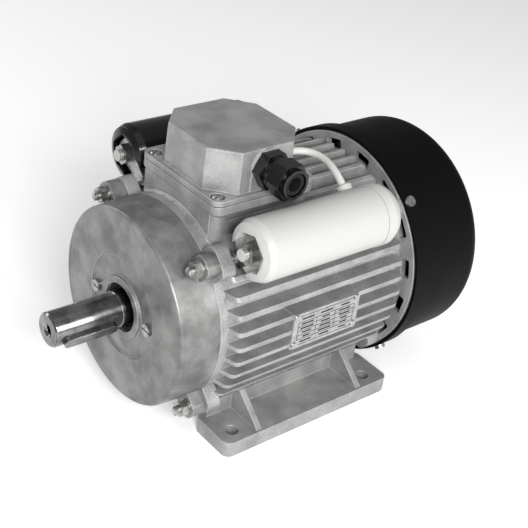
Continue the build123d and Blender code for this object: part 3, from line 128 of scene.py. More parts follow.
lead_routes = {
    "run_lead": [
        (-1, -12, 186),
        (15.8, -12, 186),
        (26.8, -25.3, 185.5),
        snout_point(-1, 35),
        snout_point(-1, 22),
    ],
    "start_lead": [
        (-1, 12, 186),
        (18.9, 12, 186),
        (30.4, 30, 189.1),
        snout_point(1, 34.5),
        snout_point(1, 22),
    ],
}
leads = {}
for name, route in lead_routes.items():
    curve = bpy.data.curves.new("jacket_" + name, "CURVE")
    curve.dimensions = "3D"
    curve.bevel_depth = 1.0
    curve.bevel_resolution = 6
    curve.resolution_u = 24
    spline = curve.splines.new("NURBS")
    spline.points.add(len(route) - 1)
    for point, (x, y, z) in zip(spline.points, route):
        point.co = (x * MM, y * MM, z * MM, 1)
        point.radius = lead_radius * MM
    spline.order_u = 3
    spline.use_endpoint_u = True
    lead = bpy.data.objects.new("jacket_" + name, curve)
    link_piece(lead)
    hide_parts(name)
    leads[name] = lead
print("leads", list(leads))

# %% [markdown]
# Finishes are node trees. One function turns a hex colour, as a colour picker shows it,
# into the linear numbers that the renderer works in, and one adds a node with its settings
# and links. Every pattern reads Object coordinates, which here are metres in the frame of
# the motor, so a scale is one over a real size.

# %% Colour and node helpers
def linear(hex_colour):
    """Linear colour with full alpha from an sRGB hex value."""
    channels = [int(hex_colour[i : i + 2], 16) / 255 for i in (0, 2, 4)]
    return tuple(c / 12.92 if c <= 0.04045 else ((c + 0.055) / 1.055) ** 2.4 for c in channels) + (1,)


def add_node(tree, kind, settings=None, values=None, links=None):
    """Adds a node, sets its properties and sockets, and links outputs into its inputs."""
    node = tree.nodes.new(kind)
    for name, value in (settings or {}).items():
        setattr(node, name, value)
    for socket, value in (values or {}).items():
        node.inputs[socket].default_value = value
    for socket, output in (links or {}).items():
        tree.links.new(output, node.inputs[socket])
    return node


def new_material(name):
    """Empty material with its output; returns the material, its tree and the output node."""
    material = bpy.data.materials.new(name)
    material.use_nodes = True
    material.node_tree.nodes.clear()
    output = add_node(material.node_tree, "ShaderNodeOutputMaterial")
    return material, material.node_tree, output


def painted_edge_highlight(tree, colour, rounded_normal, bright):
    """Painted highlight: mixes a bright colour into another where the rounded normal leaves the flat
    one.
    """
    flat = add_node(tree, "ShaderNodeNewGeometry").outputs["Normal"]
    agreement = add_node(
        tree, "ShaderNodeVectorMath", {"operation": "DOT_PRODUCT"}, links={0: rounded_normal, 1: flat}
    )
    # The painted highlight's share grows as the rounded normal turns from the flat one, at convex and
    # concave edges alike.
    edge_highlight_share = add_node(
        tree,
        "ShaderNodeMapRange",
        values={"From Min": 0.97, "From Max": 0.78, "To Min": 0.0, "To Max": 0.85},
        links={"Value": agreement.outputs["Value"]},
    )
    mixed = add_node(
        tree,
        "ShaderNodeMix",
        {"data_type": "RGBA"},
        {7: linear(bright)},
        {0: edge_highlight_share.outputs["Result"], 6: colour},
    )
    return mixed.outputs[2]


materials = {}
print("mid grey in linear light", round(linear("808080")[0], 3))

# %% [markdown]
# Sand-cast aluminium is dull and slightly grainy: the sand leaves a skin of grains about
# half a millimetre wide, drawn here at 1.1 mm so that it shows, and soft blotches near two
# centimetres wide. Grain and blotches together choose the grey, and the grain alone gives
# the bumps. A bevel node rounds the edges that a casting never has sharp, and a painted
# highlight lightens the colour along the edges. The rotor's cage is cast under pressure,
# so it is finer and brighter.

# %% Sand-cast aluminium
cast_blotch_mm = 18
cast_grain_share = 0.7


def cast_metal(name, dark, light, roughness, metallic, grain_mm, grain_height, edge_mm):
    """Dull cast metal with a grainy skin, soft blotches, rounded edges and a painted edge highlight.
    """
    material, tree, output = new_material(name)
    place = add_node(tree, "ShaderNodeTexCoord").outputs["Object"]
    blotch = add_node(
        tree,
        "ShaderNodeTexNoise",
        values={"Scale": 1 / (cast_blotch_mm * MM), "Detail": 4.0},
        links={"Vector": place},
    )
    grain = add_node(
        tree,
        "ShaderNodeTexNoise",
        values={"Scale": 1 / (grain_mm * MM), "Detail": 3.0, "Roughness": 0.6},
        links={"Vector": place},
    )
    skin = add_node(
        tree,
        "ShaderNodeMath",
        {"operation": "MULTIPLY_ADD"},
        {1: cast_grain_share},
        {0: grain.outputs["Fac"], 2: blotch.outputs["Fac"]},
    )
    colour = add_node(tree, "ShaderNodeValToRGB", links={"Fac": skin.outputs["Value"]})
    colour.color_ramp.elements[0].position = 0.64
    colour.color_ramp.elements[0].color = linear(dark)
    colour.color_ramp.elements[1].position = 1.08
    colour.color_ramp.elements[1].color = linear(light)
    rough = add_node(
        tree,
        "ShaderNodeMapRange",
        values={"To Min": roughness - 0.08, "To Max": roughness + 0.08},
        links={"Value": blotch.outputs["Fac"]},
    )
    edge = add_node(tree, "ShaderNodeBevel", {"samples": 4}, {"Radius": edge_mm * MM})
    bump = add_node(
        tree,
        "ShaderNodeBump",
        values={"Strength": 0.5, "Distance": grain_height * MM},
        links={"Height": grain.outputs["Fac"], "Normal": edge.outputs["Normal"]},
    )
    shader = add_node(
        tree,
        "ShaderNodeBsdfPrincipled",
        values={"Metallic": metallic},
        links={
            # The edges get a painted highlight of this pale grey.
            "Base Color": painted_edge_highlight(tree, colour.outputs["Color"], edge.outputs["Normal"], "dededd"),
            "Roughness": rough.outputs["Result"],
            "Normal": bump.outputs["Normal"],
        },
    )
    tree.links.new(shader.outputs["BSDF"], output.inputs["Surface"])
    return material


materials["cast_aluminium"] = cast_metal(
    "sand_cast_aluminium",
    dark="828282",
    light="a2a2a1",
    roughness=0.50,
    metallic=0.45,
    grain_mm=1.1,
    grain_height=0.25,
    edge_mm=0.7,
)
materials["cage_aluminium"] = cast_metal(
    "pressure_cast_aluminium",
    dark="a4a4a4",
    light="b8b8b8",
    roughness=0.38,
    metallic=0.9,
    grain_mm=0.6,
    grain_height=0.08,
    edge_mm=0.4,
)
print("cast finishes", sorted(materials))

# %% [markdown]
# The end shield is turned on a lathe, so its face and its rim carry fine rings round the
# shaft line. The distance from that line plus the place along it gives one number that
# changes across both, and a one-dimensional noise of that number draws the rings. The
# feed is about 0.2 mm, drawn at 1.1 mm so that it shows. Handling leaves soft stains two
# centimetres wide over them, and these show more than the rings. The shaft is ground and
# the bearing rings are polished: the same tree, with finer rings and a sharper shine.

# %% Turned and ground metals
ring_share = 0.10


def turned_metal(name, dark, light, roughness, metallic, ring_mm, ring_height, blotch_mm, edge_mm):
    """Metal with fine rings round the shaft line, soft stains and a painted edge highlight."""
    material, tree, output = new_material(name)
    place = add_node(tree, "ShaderNodeTexCoord").outputs["Object"]
    centred = add_node(
        tree,
        "ShaderNodeMapping",
        values={"Location": (0, 0, -shaft_height * MM)},
        links={"Vector": place},
    )
    axes = add_node(tree, "ShaderNodeSeparateXYZ", links={"Vector": centred.outputs["Vector"]})
    across = add_node(
        tree, "ShaderNodeCombineXYZ", links={"Y": axes.outputs["Y"], "Z": axes.outputs["Z"]}
    )
    radius = add_node(
        tree, "ShaderNodeVectorMath", {"operation": "LENGTH"}, links={0: across.outputs["Vector"]}
    )
    track = add_node(
        tree,
        "ShaderNodeMath",
        {"operation": "ADD"},
        links={0: radius.outputs["Value"], 1: axes.outputs["X"]},
    )
    rings = add_node(
        tree,
        "ShaderNodeTexNoise",
        {"noise_dimensions": "1D"},
        {"Scale": 1 / (ring_mm * MM), "Detail": 2.0},
        {"W": track.outputs["Value"]},
    )
    blotch = add_node(
        tree,
        "ShaderNodeTexNoise",
        values={"Scale": 1 / (blotch_mm * MM), "Detail": 5.0, "Roughness": 0.6},
        links={"Vector": place},
    )
    both = add_node(
        tree,
        "ShaderNodeMath",
        {"operation": "MULTIPLY_ADD"},
        {1: ring_share},
        {0: rings.outputs["Fac"], 2: blotch.outputs["Fac"]},
    )
    colour = add_node(tree, "ShaderNodeValToRGB", links={"Fac": both.outputs["Value"]})
    colour.color_ramp.elements[0].position = 0.40
    colour.color_ramp.elements[0].color = linear(dark)
    colour.color_ramp.elements[1].position = 0.72
    colour.color_ramp.elements[1].color = linear(light)
    rough = add_node(
        tree,
        "ShaderNodeMapRange",
        values={"To Min": roughness - 0.1, "To Max": roughness + 0.1},
        links={"Value": blotch.outputs["Fac"]},
    )
    edge = add_node(tree, "ShaderNodeBevel", {"samples": 4}, {"Radius": edge_mm * MM})
    bump = add_node(
        tree,
        "ShaderNodeBump",
        values={"Strength": 0.6, "Distance": ring_height * MM},
        links={"Height": rings.outputs["Fac"], "Normal": edge.outputs["Normal"]},
    )
    shader = add_node(
        tree,
        "ShaderNodeBsdfPrincipled",
        values={"Metallic": metallic},
        links={
            # The edges get a painted highlight of this pale grey.
            "Base Color": painted_edge_highlight(tree, colour.outputs["Color"], edge.outputs["Normal"], "e0e0df"),
            "Roughness": rough.outputs["Result"],
            "Normal": bump.outputs["Normal"],
        },
    )
    tree.links.new(shader.outputs["BSDF"], output.inputs["Surface"])
    return material


materials["turned_aluminium"] = turned_metal(
    "turned_aluminium",
    dark="646463",
    light="90908f",
    roughness=0.42,
    metallic=0.60,
    ring_mm=1.1,
    ring_height=0.02,
    blotch_mm=20,
    edge_mm=0.6,
)
materials["ground_steel"] = turned_metal(
    "ground_steel",
    dark="5c5c5c",
    light="989898",
    roughness=0.20,
    metallic=1.0,
    ring_mm=0.7,
    ring_height=0.01,
    blotch_mm=14,
    edge_mm=0.4,
)
materials["bearing_steel"] = turned_metal(
    "polished_bearing_steel",
    dark="a8a8a8",
    light="c8c8c8",
    roughness=0.16,
    metallic=1.0,
    ring_mm=0.6,
    ring_height=0.01,
    blotch_mm=10,
    edge_mm=0.3,
)
print("turned finishes added", len(materials))

# %% [markdown]
# Zinc plating on nuts, rods and screws is a bright, slightly cloudy grey. Brass is used
# for the terminals and is a warm yellow. The rating plate is anodised aluminium, which is
# even and satin. All are the same tree with other colours: a clouded base, a soft change of
# roughness and rounded edges.

# %% Plated and plain metals
def smooth_metal(name, dark, light, roughness, cloud_mm, edge_mm):
    """Smooth plated or machined metal with a clouded sheen."""
    material, tree, output = new_material(name)
    place = add_node(tree, "ShaderNodeTexCoord").outputs["Object"]
    cloud = add_node(
        tree,
        "ShaderNodeTexNoise",
        values={"Scale": 1 / (cloud_mm * MM), "Detail": 3.0},
        links={"Vector": place},
    )
    colour = add_node(tree, "ShaderNodeValToRGB", links={"Fac": cloud.outputs["Fac"]})
    colour.color_ramp.elements[0].position = 0.35
    colour.color_ramp.elements[0].color = linear(dark)
    colour.color_ramp.elements[1].position = 0.65
    colour.color_ramp.elements[1].color = linear(light)
    rough = add_node(
        tree,
        "ShaderNodeMapRange",
        values={"To Min": roughness - 0.07, "To Max": roughness + 0.07},
        links={"Value": cloud.outputs["Fac"]},
    )
    edge = add_node(tree, "ShaderNodeBevel", {"samples": 4}, {"Radius": edge_mm * MM})
    shader = add_node(
        tree,
        "ShaderNodeBsdfPrincipled",
        values={"Metallic": 1.0},
        links={
            "Base Color": colour.outputs["Color"],
            "Roughness": rough.outputs["Result"],
            "Normal": edge.outputs["Normal"],
        },
    )
    tree.links.new(shader.outputs["BSDF"], output.inputs["Surface"])
    return material


materials["zinc_steel"] = smooth_metal(
    "zinc_plated_steel",
    dark="8e8e8c",
    light="bcbcba",
    roughness=0.36,
    cloud_mm=3,
    edge_mm=0.15,
)
materials["brass"] = smooth_metal(
    "turned_brass",
    dark="9c7a3c",
    light="c09a54",
    roughness=0.30,
    cloud_mm=4,
    edge_mm=0.3,
)
materials["plate_aluminium"] = smooth_metal(
    "anodised_aluminium_plate",
    dark="a9a9a9",
    light="bdbdbd",
    roughness=0.34,
    cloud_mm=5,
    edge_mm=0.2,
)
print("with plated and plain metals", len(materials))

# %% [markdown]
# The plastics are moulded: the white run-capacitor cover is satin, and the black one and
# the gland are glossy, with bright glints on their edges. Powder coat on the cowl is almost
# matt and has the faint orange-peel skin of melted powder, about 1.5 mm wide. The terminal
# board is moulded phenolic, a dull brown. Rubber is matt, and the leads have a soft sheen.
# All are one tree: an even colour, a skin of small waves, and a gloss set on the shader.

# %% Plastics, powder coat and rubber
handling_mm = 30


def skinned(name, colour, roughness, skin_mm, skin_height, edge_mm, specular):
    """Non-metal of one colour with a skin of small waves."""
    material, tree, output = new_material(name)
    place = add_node(tree, "ShaderNodeTexCoord").outputs["Object"]
    skin = add_node(
        tree,
        "ShaderNodeTexNoise",
        values={"Scale": 1 / (skin_mm * MM), "Detail": 2.0},
        links={"Vector": place},
    )
    wear = add_node(
        tree,
        "ShaderNodeTexNoise",
        values={"Scale": 1 / (handling_mm * MM), "Detail": 5.0},
        links={"Vector": place},
    )
    rough = add_node(
        tree,
        "ShaderNodeMapRange",
        values={"To Min": roughness - 0.06, "To Max": roughness + 0.08},
        links={"Value": wear.outputs["Fac"]},
    )
    edge = add_node(tree, "ShaderNodeBevel", {"samples": 4}, {"Radius": edge_mm * MM})
    bump = add_node(
        tree,
        "ShaderNodeBump",
        values={"Strength": 0.4, "Distance": skin_height * MM},
        links={"Height": skin.outputs["Fac"], "Normal": edge.outputs["Normal"]},
    )
    shader = add_node(
        tree,
        "ShaderNodeBsdfPrincipled",
        values={"Base Color": linear(colour), "IOR": 1.5, "Specular IOR Level": specular},
        links={"Roughness": rough.outputs["Result"], "Normal": bump.outputs["Normal"]},
    )
    tree.links.new(shader.outputs["BSDF"], output.inputs["Surface"])
    return material


materials["white_plastic"] = skinned(
    "white_abs",
    colour="b0b0ae",
    roughness=0.42,
    skin_mm=2.5,
    skin_height=0.02,
    edge_mm=0.8,
    specular=0.3,
)
materials["black_plastic"] = skinned(
    "black_polyamide",
    colour="040404",
    roughness=0.17,
    skin_mm=1.2,
    skin_height=0.03,
    edge_mm=0.5,
    specular=0.45,
)
materials["black_sheet"] = skinned(
    "black_powder_coat",
    colour="070707",
    roughness=0.50,
    skin_mm=1.5,
    skin_height=0.06,
    edge_mm=0.8,
    specular=0.07,
)
materials["brown_phenolic"] = skinned(
    "moulded_phenolic",
    colour="4b2f20",
    roughness=0.45,
    skin_mm=1.0,
    skin_height=0.05,
    edge_mm=0.4,
    specular=0.4,
)
materials["white_cord"] = skinned(
    "white_pvc_jacket",
    colour="c0c0bd",
    roughness=0.45,
    skin_mm=0.8,
    skin_height=0.03,
    edge_mm=0.1,
    specular=0.3,
)
materials["black_rubber"] = skinned(
    "black_rubber",
    colour="101010",
    roughness=0.72,
    skin_mm=0.6,
    skin_height=0.05,
    edge_mm=0.3,
    specular=0.3,
)
print("with plastics, coat and rubber", len(materials))

# %% [markdown]
# Windings are enamelled copper wire, about 0.9 mm thick, laid side by side. The end turns
# run round the shaft line, so the wires show as ridges that follow each other along the
# shaft. Laminations are 0.5 mm sheets stacked along the shaft, drawn at 1 mm. A wave texture
# in bands across the shaft line draws both.

# %% Windings and laminations
def striped(name, dark, light, metallic, roughness, stripe_mm, height):
    """Wires or sheets side by side along the shaft line."""
    material, tree, output = new_material(name)
    place = add_node(tree, "ShaderNodeTexCoord").outputs["Object"]
    bands = add_node(
        tree,
        "ShaderNodeTexWave",
        {"bands_direction": "X", "wave_profile": "SIN"},
        {"Scale": 0.314 / (stripe_mm * MM), "Distortion": 0.6, "Detail": 1.0},
        {"Vector": place},
    )
    colour = add_node(tree, "ShaderNodeValToRGB", links={"Fac": bands.outputs["Fac"]})
    colour.color_ramp.elements[0].color = linear(dark)
    colour.color_ramp.elements[1].color = linear(light)
    bump = add_node(
        tree,
        "ShaderNodeBump",
        values={"Strength": 0.8, "Distance": height * MM},
        links={"Height": bands.outputs["Fac"]},
    )
    shader = add_node(
        tree,
        "ShaderNodeBsdfPrincipled",
        values={"Metallic": metallic, "Roughness": roughness},
        links={"Base Color": colour.outputs["Color"], "Normal": bump.outputs["Normal"]},
    )
    tree.links.new(shader.outputs["BSDF"], output.inputs["Surface"])
    return material


materials["copper_wire"] = striped(
    "enamelled_copper_wire",
    dark="5c2510",
    light="b5622f",
    metallic=0.7,
    roughness=0.32,
    stripe_mm=0.9,
    height=0.3,
)
materials["electrical_steel"] = striped(
    "stacked_electrical_steel",
    dark="38383a",
    light="5d5d60",
    metallic=0.8,
    roughness=0.45,
    stripe_mm=1.0,
    height=0.1,
)
print("finishes", len(materials))

# %% [markdown]
# Each solid takes the finish that its record names. The slots of a solid's object get the
# new material, and its mesh is left as it is.

# %% Give every solid its finish
for part in frame["record"]["subparts"]:
    solid = frame["nodes"][part["node"]]
    for slot in solid.material_slots:
        slot.material = materials[part["material_slot"]]
for lead in leads.values():
    lead.data.materials.append(materials["white_cord"])

# %% [markdown]
# Some things repeat by a rule: threads, a coil spring, lacing round the end turns and the
# ruled lines of a blank rating plate. Geometry Nodes trees make them. A tree takes named
# inputs, the modifier sets them by their identifiers, and the result is turned into a plain
# mesh, one for each body that it rides on.

# %% Helpers for Geometry Nodes trees
def new_tree(name, inputs):
    """Geometry Nodes tree with a geometry input and output and named number inputs."""
    tree = bpy.data.node_groups.new(name, "GeometryNodeTree")
    tree.interface.new_socket("Geometry", in_out="INPUT", socket_type="NodeSocketGeometry")
    for label, kind in inputs.items():
        tree.interface.new_socket(label, in_out="INPUT", socket_type="NodeSocket" + kind)
    tree.interface.new_socket("Geometry", in_out="OUTPUT", socket_type="NodeSocketGeometry")
    return tree, add_node(tree, "NodeGroupInput").outputs


def end_tree(tree, geometry, group_in):
    """Realizes what a tree made, gives it its material and sends it out."""
    real = add_node(tree, "GeometryNodeRealizeInstances", links={"Geometry": geometry})
    painted = add_node(
        tree,
        "GeometryNodeSetMaterial",
        links={"Geometry": real.outputs["Geometry"], "Material": group_in["Material"]},
    )
    add_node(tree, "NodeGroupOutput", links={0: painted.outputs["Geometry"]})


def grow(name, tree, places, values, slot, body="base"):
    """Runs a tree on a mesh of points and keeps the result as a plain mesh piece."""
    seed_mesh = bpy.data.meshes.new(name + "_places")
    seed_mesh.from_pydata([[value * MM for value in point] for point in places], [], [])
    seed = bpy.data.objects.new(name + "_places", seed_mesh)
    bpy.context.scene.collection.objects.link(seed)
    modifier = seed.modifiers.new("grow", "NODES")
    modifier.node_group = tree
    for item in tree.interface.items_tree:
        if item.in_out == "INPUT" and item.name in values:
            modifier[item.identifier] = values[item.name]
        if item.in_out == "INPUT" and item.name == "Material":
            modifier[item.identifier] = materials[slot]
    grown = seed.evaluated_get(bpy.context.evaluated_depsgraph_get())
    mesh = bpy.data.meshes.new_from_object(grown)
    bpy.data.objects.remove(seed)
    mesh.name = name
    shell = bmesh.new()
    shell.from_mesh(mesh)
    bmesh.ops.recalc_face_normals(shell, faces=shell.faces)
    shell.to_mesh(mesh)
    shell.free()
    piece = bpy.data.objects.new(name, mesh)
    link_piece(piece, body)
    print(name, "faces", len(mesh.polygons))
    return piece


# %% [markdown]
# A coil is a spiral with a round or three-sided wire. Three sides and a fine pitch make a
# thread; a round wire and a wide pitch make a spring. The coil stands along the shaft line
# at each point it is given.

# %% Coil tree
coil_tree, coil_in = new_tree(
    "coil",
    {
        "Pitch": "Float",
        "Coil Radius": "Float",
        "Length": "Float",
        "Wire Radius": "Float",
        "Wire Sides": "Int",
        "Steps": "Int",
        "Material": "Material",
    },
)
turns = add_node(
    coil_tree,
    "ShaderNodeMath",
    {"operation": "DIVIDE"},
    links={0: coil_in["Length"], 1: coil_in["Pitch"]},
)
spiral = add_node(
    coil_tree,
    "GeometryNodeCurveSpiral",
    links={
        "Resolution": coil_in["Steps"],
        "Rotations": turns.outputs["Value"],
        "Start Radius": coil_in["Coil Radius"],
        "End Radius": coil_in["Coil Radius"],
        "Height": coil_in["Length"],
    },
)
upright = add_node(
    coil_tree,
    "GeometryNodeSetCurveNormal",
    {"mode": "Z_UP"},
    links={"Curve": spiral.outputs["Curve"]},
)
wire = add_node(
    coil_tree,
    "GeometryNodeCurvePrimitiveCircle",
    links={"Resolution": coil_in["Wire Sides"], "Radius": coil_in["Wire Radius"]},
)
coil = add_node(
    coil_tree,
    "GeometryNodeCurveToMesh",
    values={"Fill Caps": True},
    links={"Curve": upright.outputs["Curve"], "Profile Curve": wire.outputs["Curve"]},
)
along_shaft = add_node(
    coil_tree,
    "GeometryNodeTransform",
    values={"Rotation": (0, math.pi / 2, 0)},
    links={"Geometry": coil.outputs["Mesh"]},
)
coils = add_node(
    coil_tree,
    "GeometryNodeInstanceOnPoints",
    links={"Points": coil_in["Geometry"], "Instance": along_shaft.outputs["Geometry"]},
)
end_tree(coil_tree, coils.outputs["Instances"], coil_in)
print("coil tree nodes", len(coil_tree.nodes))

# %% [markdown]
# The tie rods stand at the four corners of a square round the shaft, and their threads show
# past the nuts. The pitch is the real one, 1 mm on the rods and 1.25 mm on the thicker studs
# of the two capacitors, because even a fine thread breaks up the shine of a rod's end.

# %% Threads on the rods and studs
rod_circle_radius = 78
front_thread_x = -102.4
rear_thread_x = 96.3
run_stud_x = -77.6
start_stud_x = -72.6
rod_offset = rod_circle_radius * math.cos(math.radians(45))
corners = [
    (side * rod_offset, shaft_height + level * rod_offset) for side in (-1, 1) for level in (-1, 1)
]
grow(
    "front_rod_threads",
    coil_tree,
    [(front_thread_x, y, z) for y, z in corners],
    {
        "Pitch": 1.0 * MM,
        "Coil Radius": 3.0 * MM,
        "Length": 3.2 * MM,
        "Wire Radius": 0.42 * MM,
        "Wire Sides": 3,
        "Steps": 28,
    },
    "zinc_steel",
)
grow(
    "rear_rod_threads",
    coil_tree,
    [(rear_thread_x, y, z) for y, z in corners],
    {
        "Pitch": 1.0 * MM,
        "Coil Radius": 3.0 * MM,
        "Length": 2.2 * MM,
        "Wire Radius": 0.42 * MM,
        "Wire Sides": 3,
        "Steps": 28,
    },
    "zinc_steel",
)
grow(
    "capacitor_stud_threads",
    coil_tree,
    [(run_stud_x, -capacitor_y, capacitor_z), (start_stud_x, capacitor_y, capacitor_z)],
    {
        "Pitch": 1.25 * MM,
        "Coil Radius": 4.0 * MM,
        "Length": 3.1 * MM,
        "Wire Radius": 0.5 * MM,
        "Wire Sides": 3,
        "Steps": 32,
    },
    "zinc_steel",
)

# %% [markdown]
# The governor's spring lies round the shaft between the hub and the collar. The solid is a
# plain sleeve, and a wound coil of the same length and place stands in for it here.

# %% Governor spring
spring_low, spring_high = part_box("governor_spring")
spring_wire = 0.75
spring_coil = grow(
    "governor_coil_spring",
    coil_tree,
    [(spring_low[0] / MM + spring_wire, 0, shaft_height)],
    {
        "Pitch": 1.75 * MM,
        "Coil Radius": 17.0 * MM,
        "Length": spring_high[0] - spring_low[0] - 2 * spring_wire * MM,
        "Wire Radius": spring_wire * MM,
        "Wire Sides": 10,
        "Steps": 64,
    },
    "bearing_steel",
    "rotor",
)
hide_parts("governor_spring")

# %% [markdown]
# The enamelled end turns are bound with cord. Each loop of cord is a rounded rectangle
# that goes round the bundle, and twenty-four of them stand round the shaft at each end. One
# loop is placed on each point of a circle, and then the whole circle is stood up.

# %% Lacing tree
lacing_corner = 2.5
lacing_tree, lacing_in = new_tree(
    "lacing",
    {
        "Count": "Int",
        "Ring Radius": "Float",
        "Bundle Depth": "Float",
        "Bundle Length": "Float",
        "Cord Radius": "Float",
        "Material": "Material",
    },
)
loop = add_node(
    lacing_tree,
    "GeometryNodeCurvePrimitiveQuadrilateral",
    links={"Width": lacing_in["Bundle Length"], "Height": lacing_in["Bundle Depth"]},
)
rounded = add_node(
    lacing_tree,
    "GeometryNodeFilletCurve",
    {"mode": "POLY"},
    {"Count": 5, "Radius": lacing_corner * MM},
    {"Curve": loop.outputs["Curve"]},
)
cord = add_node(
    lacing_tree,
    "GeometryNodeCurvePrimitiveCircle",
    values={"Resolution": 6},
    links={"Radius": lacing_in["Cord Radius"]},
)
bound = add_node(
    lacing_tree,
    "GeometryNodeCurveToMesh",
    links={"Curve": rounded.outputs["Curve"], "Profile Curve": cord.outputs["Curve"]},
)
ring = add_node(
    lacing_tree,
    "GeometryNodeMeshCircle",
    links={"Vertices": lacing_in["Count"], "Radius": lacing_in["Ring Radius"]},
)
position = add_node(lacing_tree, "GeometryNodeInputPosition")
# A loop lies in its own X and Y; turned first, its long side stands across the ring
turned_loop = add_node(
    lacing_tree,
    "GeometryNodeTransform",
    values={"Rotation": (0, math.pi / 2, 0)},
    links={"Geometry": bound.outputs["Mesh"]},
)
facing = add_node(
    lacing_tree,
    "FunctionNodeAlignRotationToVector",
    {"axis": "Y", "pivot_axis": "AUTO"},
    links={"Vector": position.outputs["Position"]},
)
loops = add_node(
    lacing_tree,
    "GeometryNodeInstanceOnPoints",
    links={
        "Points": ring.outputs["Mesh"],
        "Instance": turned_loop.outputs["Geometry"],
        "Rotation": facing.outputs["Rotation"],
    },
)
upright_loops = add_node(
    lacing_tree,
    "GeometryNodeTransform",
    values={"Rotation": (0, math.pi / 2, 0)},
    links={"Geometry": loops.outputs["Instances"]},
)
lacing_places = add_node(
    lacing_tree,
    "GeometryNodeInstanceOnPoints",
    links={"Points": lacing_in["Geometry"], "Instance": upright_loops.outputs["Geometry"]},
)
end_tree(lacing_tree, lacing_places.outputs["Instances"], lacing_in)
print("lacing tree nodes", len(lacing_tree.nodes))

# %% [markdown]
# A bundle of end turns stands at each end of the core, and the loops are centred on it. They
# run close along its skin, so that the cord shows as a row of pale bands.

# %% Lacing of the end turns
front_turns_x = -54.4
rear_turns_x = 62.4
grow(
    "end_turn_lacing",
    lacing_tree,
    [(front_turns_x, 0, shaft_height), (rear_turns_x, 0, shaft_height)],
    {
        "Count": 24,
        "Ring Radius": 50.25 * MM,
        "Bundle Depth": 20.6 * MM,
        "Bundle Length": 24.0 * MM,
        "Cord Radius": 0.5 * MM,
    },
    "white_cord",
)

# %% [markdown]
# The rating plate stays blank. It only has ruled lines: rows, dividers and three columns of
# short bars, where a real plate has its print. One thin bar is placed on each point, and
# its length comes from a random value with a fixed seed.

# %% Ruled-line tree
rule_thickness = 0.08
rule_tree, rule_in = new_tree(
    "rules",
    {
        "Shortest": "Float",
        "Longest": "Float",
        "Bar Height": "Float",
        "Seed": "Int",
        "Material": "Material",
    },
)
bar = add_node(
    rule_tree,
    "GeometryNodeMeshCube",
    values={"Size": (1.0, rule_thickness * MM, 1.0)},
)
lengths = add_node(
    rule_tree,
    "FunctionNodeRandomValue",
    {"data_type": "FLOAT"},
    links={2: rule_in["Shortest"], 3: rule_in["Longest"], "Seed": rule_in["Seed"]},
)
bar_size = add_node(
    rule_tree,
    "ShaderNodeCombineXYZ",
    values={"Y": 1.0},
    links={"X": lengths.outputs[1], "Z": rule_in["Bar Height"]},
)
bars = add_node(
    rule_tree,
    "GeometryNodeInstanceOnPoints",
    links={
        "Points": rule_in["Geometry"],
        "Instance": bar.outputs["Mesh"],
        "Scale": bar_size.outputs["Vector"],
    },
)
end_tree(rule_tree, bars.outputs["Instances"], rule_in)
print("rule tree nodes", len(rule_tree.nodes))

# %% [markdown]
# The plate faces the camera's side, level with the shaft. Its lines lie a hair in front of
# it, so that they never share a plane with it.

# %% Lines of the rating plate
rule_lift = 0.03
rule_width = 0.35
rule_levels = (-11.6, -7.4, -3.9, -0.4, 3.1, 6.6, 11.6)
divider_places = (-25.5, -9.0, 8.0, 25.5)
divider_level = -0.4
field_levels = (-9.5, -5.6, -2.1, 1.4, 4.9, 9.0)
field_places = (-17.2, -0.5, 16.8)
plate_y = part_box("nameplate")[0][1] / MM - rule_lift
grow(
    "plate_rules",
    rule_tree,
    [(0, plate_y, shaft_height + level) for level in rule_levels],
    {"Shortest": 51.0 * MM, "Longest": 51.0 * MM, "Bar Height": rule_width * MM, "Seed": 1},
    "black_rubber",
)
grow(
    "plate_dividers",
    rule_tree,
    [(place, plate_y, shaft_height + divider_level) for place in divider_places],
    {
        "Shortest": rule_width * MM,
        "Longest": rule_width * MM,
        "Bar Height": 14.0 * MM,
        "Seed": 1,
    },
    "black_rubber",
)
grow(
    "plate_fields",
    rule_tree,
    [(place, plate_y, shaft_height + level) for level in field_levels for place in field_places],
    {"Shortest": 6.0 * MM, "Longest": 12.0 * MM, "Bar Height": 1.1 * MM, "Seed": 7},
    "black_rubber",
)

# %% [markdown]
# The pedestal of the terminal box runs into the barrel with a cast fillet along its front
# wall. Its section is a hollow quarter round, and it follows the barrel's curve, so the
# section is turned step by step round the shaft and skinned over. The same skinning makes
# closed rings.

# %% Cast fillet in front of the pedestal
def skin_rows(name, groups, closed, slot):
    """Skins groups of sections, in millimetres, into one piece with ends or closed round."""
    shell = bmesh.new()
    for group in groups:
        rows = [[shell.verts.new([value * MM for value in point]) for point in row] for row in group]
        for row, following in zip(rows, rows[1:] + (rows[:1] if closed else [])):
            for index in range(len(row)):
                after = (index + 1) % len(row)
                shell.faces.new((row[index], row[after], following[after], following[index]))
        if not closed:
            shell.faces.new(rows[0])
            shell.faces.new(rows[-1])
    bmesh.ops.recalc_face_normals(shell, faces=shell.faces)
    mesh = bpy.data.meshes.new(name)
    shell.to_mesh(mesh)
    shell.free()
    mesh.materials.append(materials[slot])
    piece = link_piece(bpy.data.objects.new(name, mesh))
    print(name, "faces", len(mesh.polygons))


barrel_radius = 70.4
fillet_front_x = -77.25
fillet_back_x = -74.3
fillet_length = 2.85
fillet_height = 3.0
fillet_root = barrel_radius - 0.6
fillet_reach = math.radians(30.4)
fillet_steps = 28
curve_steps = 6
section = [(fillet_front_x, fillet_root)]
for step in range(curve_steps + 1):
    turn = math.radians(90 * step / curve_steps)
    along = fillet_front_x + fillet_length * math.sin(turn)
    section.append((along, barrel_radius + fillet_height * (1 - math.cos(turn))))
section.append((fillet_back_x, fillet_root))
fillet_rows = []
for index in range(fillet_steps + 1):
    angle = fillet_reach * (2 * index / fillet_steps - 1)
    fillet_rows.append(
        [
            (x, radius * math.sin(angle), shaft_height + radius * math.cos(angle))
            for x, radius in section
        ]
    )
skin_rows("pedestal_fillet", [fillet_rows], False, "cast_aluminium")
